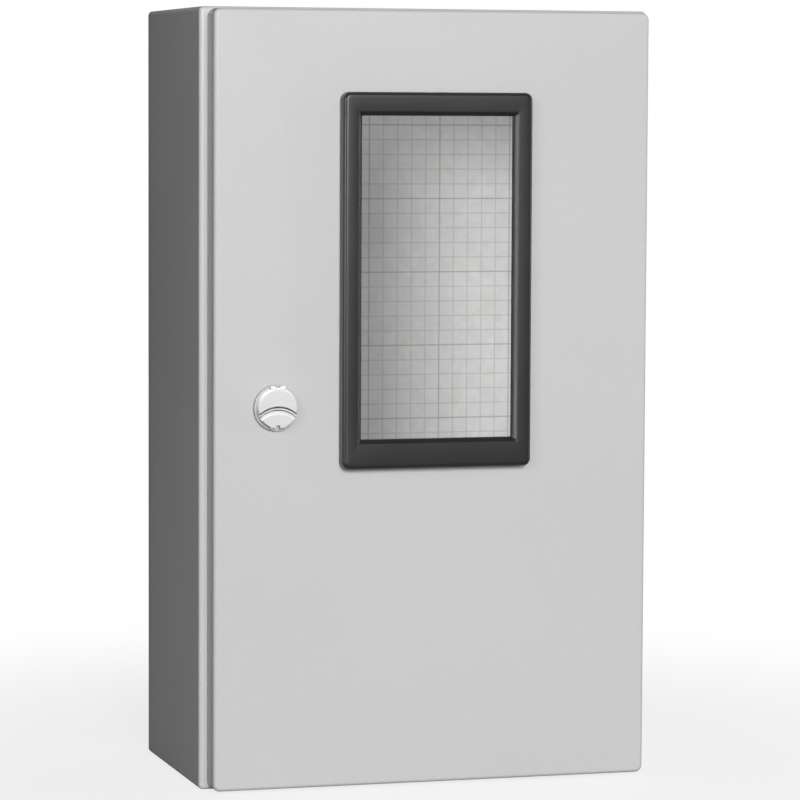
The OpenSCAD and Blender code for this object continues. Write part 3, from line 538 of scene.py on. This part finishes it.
def addLamp(name, setup, aim):
    # area lamp that looks at its aim
    data = bpy.data.lights.new(name, "AREA")
    data.shape = "RECTANGLE"
    data.size = setup["size"]
    data.size_y = setup.get("height", setup["size"])
    data.energy = setup["power"]
    data.use_shadow = setup.get("shadow", True)
    lamp = bpy.data.objects.new(name, data)
    bpy.context.scene.collection.objects.link(lamp)
    back = direction(setup["azimuth"], setup["elevation"])
    lamp.location = aim + back * setup["distance"]
    lamp.rotation_euler = back.to_track_quat("Z", "Y").to_euler()
    return lamp


makeCamera(cameraSetup)
placed = {name: addLamp(name, setup, centre) for name, setup in lamps.items()}


def lampOnly(lamp, name, state, *pieces):
    # the lamp lights only these pieces, or all but these
    receivers = bpy.data.collections.new(name)
    for piece in pieces:
        receivers.objects.link(piece)
    lamp.light_linking.receiver_collection = receivers
    for item in receivers.collection_objects:
        item.light_linking.link_state = state


def lightPiece(piece, setups, aim):
    # lamps that light one piece alone
    for name, setup in setups.items():
        lampOnly(addLamp(name, setup, aim), name + "Lit", "INCLUDE", piece)


print("camera and lamps placed")

shellEdge = 0.18  # broken edges of the body, mm


def makeBodyShell():
    # wrapper and back pan as one welded, ground and painted shell
    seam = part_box("back_panel")[0].y
    near = mergeGap["seam"] * mm
    bm = bmesh.new()
    for node in ("wrapper", "back_panel"):
        part = takeNode(node)
        joint = [face for face in part.faces
                 if all(abs(vert.co.y - seam) < near for vert in face.verts)]
        bmesh.ops.delete(part, geom=joint, context="FACES_ONLY")
        addCopy(part, Matrix.Identity(4), bm)
        part.free()
    bmesh.ops.remove_doubles(bm, verts=bm.verts, dist=near)
    print("body shell: open edges", len([edge for edge in bm.edges if edge.is_boundary]))
    return addPiece(bm, "body_shell", ("wrapper", "back_panel"),
                    modifiers=edgeRound(shellEdge))


bodyShell = makeBodyShell()
lampOnly(placed["leftStrip"], "leftStripLit", "INCLUDE", bodyShell)

# sheet metal and castings that keep the CAD shape, with the width of their broken edges in mm
roundedNodes = {
    "door_panel": 0.18, "mounting_plate": 0.2, "gland_plate": 0.2, "hinge_bracket_upper": 0.3,
    "hinge_bracket_lower": 0.3, "hinge_leaf_upper": 0.25, "hinge_leaf_lower": 0.25,
    "window_retainer": 0.3, "lock_housing": 0.25, "lock_cover": 0.3, "lock_cam": 0.25,
    "window_pane": 0.15, "lock_barrel": 0.15, "plate_spacers": 0.2,
}
rounded = {}
for node, width in roundedNodes.items():
    rounded[node] = addPiece(takeNode(node), node + "_finished", (node,),
                             modifiers=edgeRound(width))
plate = rounded["mounting_plate"]
cover = rounded["lock_cover"]
door = rounded["door_panel"]
for name in ("key", "soft"):
    lampOnly(placed[name], name + "LeavesOut", "EXCLUDE", plate, cover, door,
             rounded["window_pane"])
lightPiece(door, doorLamps, centre)
lightPiece(plate, plateLamps, middle("window_pane"))
lightPiece(cover, coverLamps, middle("lock_cover"))
print("rounded nodes:", len(roundedNodes))


def outlineOf(node, inset=0.0):
    # outline of a node seen from the front: left, bottom, right, top
    low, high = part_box(node)
    return (low.x + inset * mm, low.z + inset * mm, high.x - inset * mm, high.z - inset * mm)


def grow(outline, by):
    left, bottom, right, top = outline
    return (left - by * mm, bottom - by * mm, right + by * mm, top + by * mm)


def cornerArc(outline, corner, atRight, atTop):
    # centre of the arc at one corner of an outline
    left, bottom, right, top = outline
    return Vector((right - corner * mm if atRight else left + corner * mm,
                   top - corner * mm if atTop else bottom + corner * mm))


def fitLoop(verts, old, new):
    # moves a round-cornered loop to another outline, corner radius and depth
    outline, corner, _ = old
    newOutline, newCorner, depth = new
    left, bottom, right, top = outline
    for vert in verts:
        side = vert.co.x > (left + right) / 2, vert.co.y > (bottom + top) / 2
        spoke = (vert.co.xy - cornerArc(outline, corner, *side)) / (corner * mm)
        spot = cornerArc(newOutline, newCorner, *side) + spoke * newCorner * mm
        vert.co = Vector((*spot, depth))


def loftLoops(loops, steps=8):
    # loops of (outline, corner radius in mm, depth), joined one after another into a ring
    bm = bmesh.new()
    outline, corner, depth = loops[0]
    verts = bmesh.ops.create_grid(bm, x_segments=1, y_segments=1, size=0.5)["verts"]
    bmesh.ops.scale(bm, verts=verts, vec=(outline[2] - outline[0], outline[3] - outline[1], 1))
    bmesh.ops.translate(bm, verts=verts, vec=((outline[0] + outline[2]) / 2,
                                              (outline[1] + outline[3]) / 2, depth))
    bmesh.ops.bevel(bm, geom=bm.verts[:], offset=corner * mm, offset_type="OFFSET",
                    segments=steps, profile=0.5, affect="VERTICES", material=-1)
    first = cap = next(iter(bm.faces))
    for old, new in zip(loops, loops[1:]):
        geom = bmesh.ops.extrude_face_region(bm, geom=[cap])["geom"]
        if cap is not first:
            bmesh.ops.delete(bm, geom=[cap], context="FACES_ONLY")
        cap = next(item for item in geom if isinstance(item, bmesh.types.BMFace))
        fitLoop(cap.verts, old, new)
    bmesh.ops.delete(bm, geom=[first, cap], context="FACES_ONLY")
    bmesh.ops.bridge_loops(bm, edges=[edge for edge in bm.edges if edge.is_boundary])
    bmesh.ops.transform(bm, matrix=front, verts=bm.verts)
    bmesh.ops.recalc_face_normals(bm, faces=bm.faces)
    return bm


tightCorner = 0.4  # smallest corner radius of a loop, mm


def quarter(outline, corner, depth, radius, steps):
    # loops that round the outline's front edge inwards over a radius
    loops = []
    for step in range(steps + 1):
        turn = math.radians(90) * step / steps
        pull = radius * (1 - math.cos(turn))
        loops.append((grow(outline, -pull), max(corner - pull, tightCorner),
                      depth + radius * mm * math.sin(turn)))
    return loops


frameSize = {
    "corner": 5.0, "edge": 3.0, "edgeSteps": 8,      # outline corner and front edge, mm
    "chamfer": 2.5, "innerCorner": 0.8, "lap": 4.0,  # slope round the opening, lap over the pane
    "pocket": 0.2, "collar": 1.9, "collarCorner": 1.5,
    "land": 0.5, "landSteps": 3,                     # small radius where the front meets its slope
    "foot": ((0.3, -0.3), (0.06, 0.2), (0.0, 1.0)),  # bend at the slope's foot: side, down, in lands
}


def makeWindowFrame(size):
    # moulding with a sloped opening, a pocket for the pane and a collar through the door
    outer = outlineOf("window_frame")
    pane = outlineOf("window_pane")
    opening = grow(pane, -size["lap"])
    pocket = grow(pane, size["pocket"])
    collar = grow(pocket, size["collar"])
    low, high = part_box("window_frame")
    face, back = -low.y, -high.y
    seat = -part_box("window_seal")[0].y
    ledge = -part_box("pane_seal")[0].y
    mouth = grow(opening, size["chamfer"])
    corner, collarCorner = size["innerCorner"], size["collarCorner"]
    loops = [(outer, size["corner"], seat)]
    loops += quarter(outer, size["corner"], face - size["edge"] * mm, size["edge"],
                     size["edgeSteps"])
    land, chamfer = size["land"], size["chamfer"]
    for step in range(size["landSteps"] + 1):
        turn = math.radians(45) * step / size["landSteps"]
        loops.append((grow(mouth, land - land * math.sin(turn)), corner + land,
                      face - land * mm * (1 - math.cos(turn))))
    loops += [(grow(opening, land * side), corner, face - (chamfer + land * down) * mm)
              for side, down in size["foot"]]
    loops += [(opening, corner, ledge), (pocket, corner, ledge), (pocket, corner, back),
              (collar, collarCorner, back), (collar, collarCorner, seat)]
    return addPiece(loftLoops(loops), "window_bezel", ("window_frame",), "frame")


sealSize = {  # mm
    "window_seal": {"bead": 0.35, "corner": 3.0, "gap": 0.2},  # gap beside the frame's collar
    "pane_seal": {"bead": 0.3, "corner": 0.8, "width": 3.0},
}
sealShoulder = {"side": 0.4, "down": 0.25, "ease": 0.1}  # round edge: shares of the bead, then mm


def makeSeal(name, node, inner, size):
    # rubber strip with a soft rounded face
    low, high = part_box(node)
    base, top = -high.y, -low.y
    outer, corner, bead = outlineOf(node), size["corner"], size["bead"]
    side, down = bead * sealShoulder["side"], bead * sealShoulder["down"]
    loops = [(outer, corner, base), (outer, corner, top - bead * mm),
             (grow(outer, -side), max(corner - side, tightCorner), top - down * mm),
             (grow(outer, -bead), max(corner - bead, tightCorner), top),
             (grow(inner, bead), tightCorner + 2 * sealShoulder["ease"], top),
             (grow(inner, side), tightCorner + sealShoulder["ease"], top - down * mm),
             (inner, tightCorner, top - bead * mm), (inner, tightCorner, base)]
    return addPiece(loftLoops(loops), name, (node,), "seal")


bezel = makeWindowFrame(frameSize)
lightPiece(bezel, trimLamps, middle("window_frame"))
besideCollar = frameSize["pocket"] + frameSize["collar"] + sealSize["window_seal"]["gap"]
makeSeal("window_gasket", "window_seal", grow(outlineOf("window_pane"), besideCollar),
         sealSize["window_seal"])
makeSeal("pane_gasket", "pane_seal", outlineOf("pane_seal", sealSize["pane_seal"]["width"]),
         sealSize["pane_seal"])
print("window frame and seals made")

foamSize = {
    "width": 12.0, "corner": 9.0, "inner": 2.5, "foot": 0.8,  # bead and its corner radii, mm
    "steps": 10, "cornerSteps": 10, "swell": 0.6, "draw": 0.55,
    "side": 30.0, "cuts": 90,                                 # edges longer than this are cut up
    "still": 0.2, "crest": 0.4, "wobble": 0.12,               # uneven surface between two heights
}


def makeDoorSeal(size):
    # poured foam bead: a low dome that runs round the door in one piece
    low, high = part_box("door_seal")
    base, top = -low.y, -high.y
    outer = outlineOf("door_seal")
    loops = [(outer, size["corner"], base)]
    half, foot = size["width"] / 2, size["foot"]
    for step in range(size["steps"] + 1):
        turn = math.pi * step / size["steps"]
        across = half - half * math.cos(turn)
        height = (base - foot * mm) + (top - base + foot * mm) * math.sin(turn) ** size["swell"]
        corner = max(size["corner"] - across * size["draw"], size["inner"])
        loops.append((grow(outer, -across), corner, height))
    loops.append((grow(outer, -size["width"]), size["inner"], base))
    bm = loftLoops(loops, size["cornerSteps"])
    sides = [edge for edge in bm.edges if edge.calc_length() > size["side"] * mm]
    bmesh.ops.subdivide_edges(bm, edges=sides, cuts=size["cuts"], use_grid_fill=True)
    for vert in bm.verts:
        if vert.co.y > low.y + size["still"] * mm:
            lift = random.uniform(-1, 0) * size["wobble"] * mm
            vert.co.y -= lift if vert.co.y < high.y - size["crest"] * mm else 0
    return addPiece(bm, "foam_bead", ("door_seal",), "foam")


makeDoorSeal(foamSize)
print("door seal made")


turnSteps = {"thread": 24, "screw": 32, "pin": 40, "nut": 48, "washer": 48}  # faces all round


def spinProfile(points, steps, lift=0.0):
    # turns an open outline of (radius, height) in mm round the z axis
    bm = bmesh.new()
    verts = [bm.verts.new((radius * mm, 0, height * mm)) for radius, height in points]
    edges = [bm.edges.new(pair) for pair in zip(verts, verts[1:])]
    bmesh.ops.spin(bm, geom=verts + edges, cent=(0, 0, 0), axis=(0, 0, 1),
                   dvec=(0, 0, lift * mm / steps), angle=math.tau, steps=steps,
                   use_merge=lift == 0, use_duplicate=False)
    bmesh.ops.remove_doubles(bm, verts=bm.verts, dist=mergeGap["turned"] * mm)
    if lift:
        bmesh.ops.holes_fill(bm, edges=[edge for edge in bm.edges if edge.is_boundary])
        bmesh.ops.triangulate(bm, faces=[face for face in bm.faces if len(face.verts) > 4])
    bmesh.ops.recalc_face_normals(bm, faces=bm.faces)
    return bm


threadShape = {"depth": 0.58, "root": 0.12, "rise": 0.5, "crest": 0.62}  # shares of the pitch


def threadedRod(radius, length, pitch):
    # screw thread with a true helix, cut off flat at its foot
    root = radius - pitch * threadShape["depth"]
    turns = int(length / pitch) - 1
    points = []
    for turn in range(turns):
        points += [(root, turn * pitch), (root, (turn + threadShape["root"]) * pitch),
                   (radius, (turn + threadShape["rise"]) * pitch),
                   (radius, (turn + threadShape["crest"]) * pitch)]
    points.append((root, turns * pitch))
    return spinProfile(points, turnSteps["thread"], pitch)


hexShape = {
    "rim": 0.98, "slope": 0.58,               # turned-off corners: share of the flats, rise over run
    "outside": 0.99,                          # points past this share of the corners are moved
    "lead": 0.3,                              # chamfer of the bore, mm
    "lip": 0.8, "floor": 0.74, "dish": 0.25,  # dish in a solid head: shares of the rim, depth in mm
}


def hexNut(across, height, bore):
    # hexagon with its corners turned off at both ends, solid where the bore is 0
    half, lead = across / 2, hexShape["lead"]
    outer = half / math.cos(math.radians(30))
    rim, cut = half * hexShape["rim"], (outer - half) * hexShape["slope"]
    points = [(rim, 0), (outer, cut), (outer, height - cut), (rim, height)]
    if bore:
        points = [(bore, lead), (bore + lead, 0)] + points
        points += [(bore + lead, height), (bore, height - lead), (bore, lead)]
    else:
        sunk = height - hexShape["dish"]
        points = [(0, 0)] + points + [(rim * hexShape["lip"], height),
                                      (rim * hexShape["floor"], sunk), (0, sunk)]
    bm = spinProfile(points, turnSteps["nut"])
    for vert in bm.verts:
        reach = vert.co.xy.length
        if reach > outer * hexShape["outside"] * mm:
            turn = math.atan2(vert.co.y, vert.co.x) % math.radians(60) - math.radians(30)
            flat = half / math.cos(turn) * mm
            vert.co.xy *= flat / reach
            share = (flat / mm - rim) / (outer - rim)
            edge = cut * share if vert.co.z < height / 2 * mm else height - cut * share
            vert.co.z = edge * mm
    return bm


def partsOf(node):
    # the separate solids of a node, each as its lowest and highest corner, left to right and up
    bm = takeNode(node)
    left = set(bm.verts)
    found = []
    while left:
        island, border = set(), [next(iter(left))]
        while border:
            vert = border.pop()
            if vert not in island:
                island.add(vert)
                border += [edge.other_vert(vert) for edge in vert.link_edges]
        left -= island
        places = [vert.co for vert in island]
        found.append((Vector(map(min, zip(*places))), Vector(map(max, zip(*places)))))
    bm.free()
    return sorted(found, key=lambda ends: (round(ends[0].x, 5), round(ends[0].z, 5)))


towards = {  # turns a part drawn up the z axis to point this way
    "user": Matrix.Rotation(math.radians(90), 4, "X"),
    "wall": Matrix.Rotation(math.radians(-90), 4, "X"),
    "up": Matrix.Identity(4),
    "right": Matrix.Rotation(math.radians(90), 4, "Y"),
}
axisOf = {"user": 1, "wall": 1, "up": 2, "right": 0}


def standAt(low, high, way):
    # foot of a part: the middle of its rear end, looking along its own axis
    foot = (low + high) / 2
    axis = axisOf[way]
    foot[axis] = high[axis] if way == "user" else low[axis]
    return Matrix.Translation(foot) @ towards[way]


def headAt(low, high, height, way):
    # underside of a head of this height, at the end of a screw that looks this way
    foot = (low + high) / 2
    axis = axisOf[way]
    foot[axis] = low[axis] + height * mm if way == "user" else high[axis] - height * mm
    return Matrix.Translation(foot) @ towards[way]


def makeFasteners(name, node, way, shape):
    # puts one finished shape in the place of each solid of a node
    bm = bmesh.new()
    for low, high in partsOf(node):
        part = shape((high - low)[axisOf[way]] / mm)
        addCopy(part, standAt(low, high, way), bm)
        part.free()
    return addPiece(bm, name, (node,), "turned")


threads = {  # radius, pitch and direction, mm
    "plate_studs": (3.0, 1.0, "user"), "gland_studs": (2.0, 0.7, "up"),
    "body_earth_stud": (3.0, 1.0, "right"), "door_earth_stud": (3.0, 1.0, "wall"),
}
nuts = {  # width across flats, bore radius and direction, mm
    "plate_nuts": (10.0, 3.0, "user"), "gland_nuts": (7.0, 2.0, "up"),
    "leaf_nuts": (7.0, 2.0, "wall"), "body_earth_nut": (10.0, 3.0, "right"),
    "door_earth_nut": (10.0, 3.0, "wall"), "lock_nut": (24.0, 10.01, "wall"),
}
washers = {  # outer radius, bore radius and direction, mm
    "plate_washers": (6.0, 3.2, "user"), "body_earth_washer": (6.0, 3.2, "right"),
    "door_earth_washer": (6.0, 3.2, "wall"), "cam_washer": (8.0, 2.7, "wall"),
}
screws = {  # head radius and height, shank radius, pitch in mm, and where the head points
    "bracket_screws": (3.4, 1.8, 1.98, 0.7, "user"),
    "window_screws": (2.6, 2.0, 1.48, 0.8, "wall"),
}
washerEdge = 0.25  # widest broken edge of a washer, mm


def roundWasher(radius, bore, height):
    edge = min(washerEdge, height / 4)
    points = [(bore, 0), (radius - edge, 0), (radius, edge), (radius, height - edge),
              (radius - edge, height), (bore + edge, height), (bore, height - edge), (bore, 0)]
    return spinProfile(points, turnSteps["washer"])


recessShape = {
    "reach": 0.56, "width": 0.26, "depth": 0.7,  # shares of the head's radius, or of its height
    "taper": 0.82, "middle": 1.25, "rise": 0.5,  # smaller at its floor, and deepest in the middle
    "upward": 0.4,                               # least z of the normal of a face that is sunk
}


def crossRecess(bm, head, top):
    # sinks a cross into a head: the faces inside two slots go down and draw together
    reach, width = head * recessShape["reach"], head * recessShape["width"]
    depth = top * recessShape["depth"]
    for axis in ((1, 0, 0), (0, 1, 0)):
        for side in (-1, 1):
            for far in (width / 2, reach):
                bmesh.ops.bisect_plane(bm, geom=bm.verts[:] + bm.edges[:] + bm.faces[:],
                                       plane_co=Vector(axis) * side * far * mm, plane_no=axis)
    cross = []
    for face in bm.faces:
        near, far = sorted(abs(value) for value in face.calc_center_median().xy)
        if face.normal.z > recessShape["upward"] and near < width / 2 * mm and far < reach * mm:
            cross.append(face)
    geom = bmesh.ops.extrude_face_region(bm, geom=cross)["geom"]
    bmesh.ops.delete(bm, geom=cross, context="FACES")
    sunk = [item for item in geom if isinstance(item, bmesh.types.BMVert)]
    for vert in sunk:
        vert.co.xy *= recessShape["taper"]
        out = vert.co.xy.length / (reach * mm)
        deep = recessShape["middle"] - recessShape["rise"] * out
        vert.co.z = (top - depth * deep) * mm
    bmesh.ops.recalc_face_normals(bm, faces=bm.faces)


def addShank(bm, radius, length, pitch):
    # threaded shank below a head that stands on z = 0
    rod = threadedRod(radius, length, pitch)
    addCopy(rod, Matrix.Translation((0, 0, -length * mm)), bm)
    rod.free()


panHead = {"edge": 0.2, "rim": 0.45, "crown": 0.62, "steps": 6}  # edge in mm, then shares


def panScrew(head, height, shank, pitch, length):
    # pan head with a cross recess at the top of a threaded shank
    rim, edge, steps = height * panHead["rim"], panHead["edge"], panHead["steps"]
    points = [(0, 0), (head - edge, 0), (head, edge), (head, rim)]
    for step in range(1, steps + 1):
        turn = math.radians(90) * step / steps
        pull = panHead["crown"] * (1 - math.cos(turn))
        points.append((head * (1 - pull), rim + (height - rim) * math.sin(turn)))
    points.append((0, height))
    bm = spinProfile(points, turnSteps["screw"])
    crossRecess(bm, head, height)
    addShank(bm, shank, length - height, pitch)
    return bm


def makeScrews(name, node, way, head, height, shank, pitch):
    # a screw for each solid, its head towards the given side
    bm = bmesh.new()
    for low, high in partsOf(node):
        part = panScrew(head, height, shank, pitch, (high - low)[axisOf[way]] / mm)
        turn = Matrix.Rotation(random.uniform(0, math.tau), 4, "Z")
        addCopy(part, headAt(low, high, height, way) @ turn, bm)
        part.free()
    return addPiece(bm, name, (node,), "turned")


for node, (radius, pitch, way) in threads.items():
    makeFasteners(node + "_threaded", node, way,
                  lambda length: threadedRod(radius, length, pitch))
for node, (across, bore, way) in nuts.items():
    makeFasteners(node + "_chamfered", node, way, lambda length: hexNut(across, length, bore))
for node, (radius, bore, way) in washers.items():
    makeFasteners(node + "_turned", node, way, lambda length: roundWasher(radius, bore, length))
for node, (head, height, shank, pitch, way) in screws.items():
    makeScrews(node + "_turned", node, way, head, height, shank, pitch)

camScrew = {"across": 8.0, "head": 3.5, "shank": 2.5, "pitch": 0.8}  # mm


def makeCamScrew(size):
    # hexagon head on a threaded shank
    low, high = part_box("cam_screw")
    head = size["head"]
    bm = hexNut(size["across"], head, 0)
    addShank(bm, size["shank"], (high.y - low.y) / mm - head, size["pitch"])
    bmesh.ops.transform(bm, matrix=headAt(low, high, head, "wall"), verts=bm.verts)
    return addPiece(bm, "cam_screw_turned", ("cam_screw",), "turned")


pins = {  # radius, head radius and height in mm, and direction
    "hinge_pin_upper": (2.5, 3.8, 1.5, "up"),
    "hinge_pin_lower": (2.5, 3.8, 1.5, "up"),
    "cover_pin": (0.8, 0, 0, "right"),
}
pinShape = {"edge": 0.2, "cut": 0.25, "wall": 0.4, "steps": 6}  # edge in mm, cut and wall as shares


def makePin(node, radius, head, headHeight, way):
    # turned pin with a chamfered end, and a domed head where it has one
    low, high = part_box(node)
    length = (high - low)[axisOf[way]] / mm
    cut, edge, wall = radius * pinShape["cut"], pinShape["edge"], pinShape["wall"]
    body = length - headHeight
    points = [(0, 0), (radius - cut, 0), (radius, cut), (radius, body)]
    if headHeight:
        points += [(head - edge, body), (head, body + edge), (head, body + headHeight * wall)]
        for step in range(1, pinShape["steps"]):
            turn = math.radians(90) * step / pinShape["steps"]
            points.append((head * math.cos(turn),
                           body + headHeight * (wall + (1 - wall) * math.sin(turn))))
    else:
        points += [(radius, length - cut), (radius - cut, length)]
    points.append((0, length))
    bm = spinProfile(points, turnSteps["pin"])
    bmesh.ops.transform(bm, matrix=standAt(low, high, way), verts=bm.verts)
    return addPiece(bm, node + "_turned", (node,), "pin")


makeCamScrew(camScrew)
for node, size in pins.items():
    makePin(node, *size)
print("fasteners made")

stage = {
    "floor": 30.0, "ambient": 0.05, "backdrop": 1.0,  # half width in metres, then brightness
    "floorSeen": 0.92, "floorLit": 0.25,
    "near": 0.20, "far": 0.75, "glow": 0.78,          # how the paper fades into the backdrop
    "paper": 900.0, "tooth": 0.05, "toothDepth": 0.2,
}


def seenOrLit(tree, seen, lit):
    # the floor and the world look white, and light the object only a little
    path = tree.nodes.new("ShaderNodeLightPath")
    early = addNode(tree, "Math", {1: 2.5}, operation="LESS_THAN")  # after two bounces at most
    through = addNode(tree, "Math", operation="MULTIPLY")  # seen through the pane
    either = addNode(tree, "Math", operation="MAXIMUM")
    wire(tree, (path.outputs["Ray Depth"], early.inputs[0]),
         (early.outputs[0], through.inputs[0]),
         (path.outputs["Is Transmission Ray"], through.inputs[1]),
         (through.outputs[0], either.inputs[0]), (path.outputs["Is Camera Ray"], either.inputs[1]))
    mix = addNode(tree, "Mix", data_type="RGBA")
    mix.inputs["A"].default_value = (lit, lit, lit, 1)
    mix.inputs["B"].default_value = (seen, seen, seen, 1)
    wire(tree, (either.outputs[0], mix.inputs["Factor"]))
    return mix.outputs["Result"], either.outputs[0]


def makeStage():
    world = bpy.data.worlds.new("studio")
    bpy.context.scene.world = world
    world.use_nodes = True
    tree = world.node_tree
    wire(tree, (seenOrLit(tree, stage["backdrop"], stage["ambient"])[0],
                tree.nodes["Background"].inputs["Color"]))
    bm = bmesh.new()
    bmesh.ops.create_grid(bm, x_segments=1, y_segments=1, size=stage["floor"])
    bmesh.ops.translate(bm, verts=bm.verts, vec=(0, 0, cadLow.z))
    mesh = bpy.data.meshes.new("floor")
    bm.to_mesh(mesh)
    bm.free()
    floor = bpy.data.objects.new("floor", mesh)
    bpy.context.scene.collection.objects.link(floor)
    material, tree, shader, place = newMaterial("floorPaper", {"Roughness": 0.9})
    paper = addNode(tree, "TexNoise", {"Scale": stage["paper"], "Detail": 2.0})
    tooth = addNode(tree, "Bump", {"Strength": stage["tooth"],
                                   "Distance": stage["toothDepth"] * mm})
    reach = addNode(tree, "VectorMath", {1: middle("gland_plate")}, operation="DISTANCE")
    fade = addNode(tree, "MapRange", {"From Min": stage["near"], "From Max": stage["far"],
                                      "To Min": stage["glow"]},
                   interpolation_type="SMOOTHSTEP")
    colour, seen = seenOrLit(tree, stage["floorSeen"], stage["floorLit"])
    glow = addNode(tree, "Math", operation="MULTIPLY")
    light = addNode(tree, "Emission", {"Strength": stage["backdrop"]})
    mix = tree.nodes.new("ShaderNodeMixShader")
    wire(tree, (colour, shader.inputs["Base Color"]),
         (place, paper.inputs["Vector"]), (paper.outputs["Fac"], tooth.inputs["Height"]),
         (tooth.outputs["Normal"], shader.inputs["Normal"]),
         (place, reach.inputs[0]), (reach.outputs["Value"], fade.inputs["Value"]),
         (fade.outputs["Result"], glow.inputs[0]), (seen, glow.inputs[1]),
         (glow.outputs[0], mix.inputs[0]), (shader.outputs[0], mix.inputs[1]),
         (light.outputs[0], mix.inputs[2]),
         (mix.outputs[0], tree.nodes["Material Output"].inputs["Surface"]))
    mesh.materials.append(material)


makeStage()
bpy.context.scene.view_settings.view_transform = "Standard"
print("stage made")
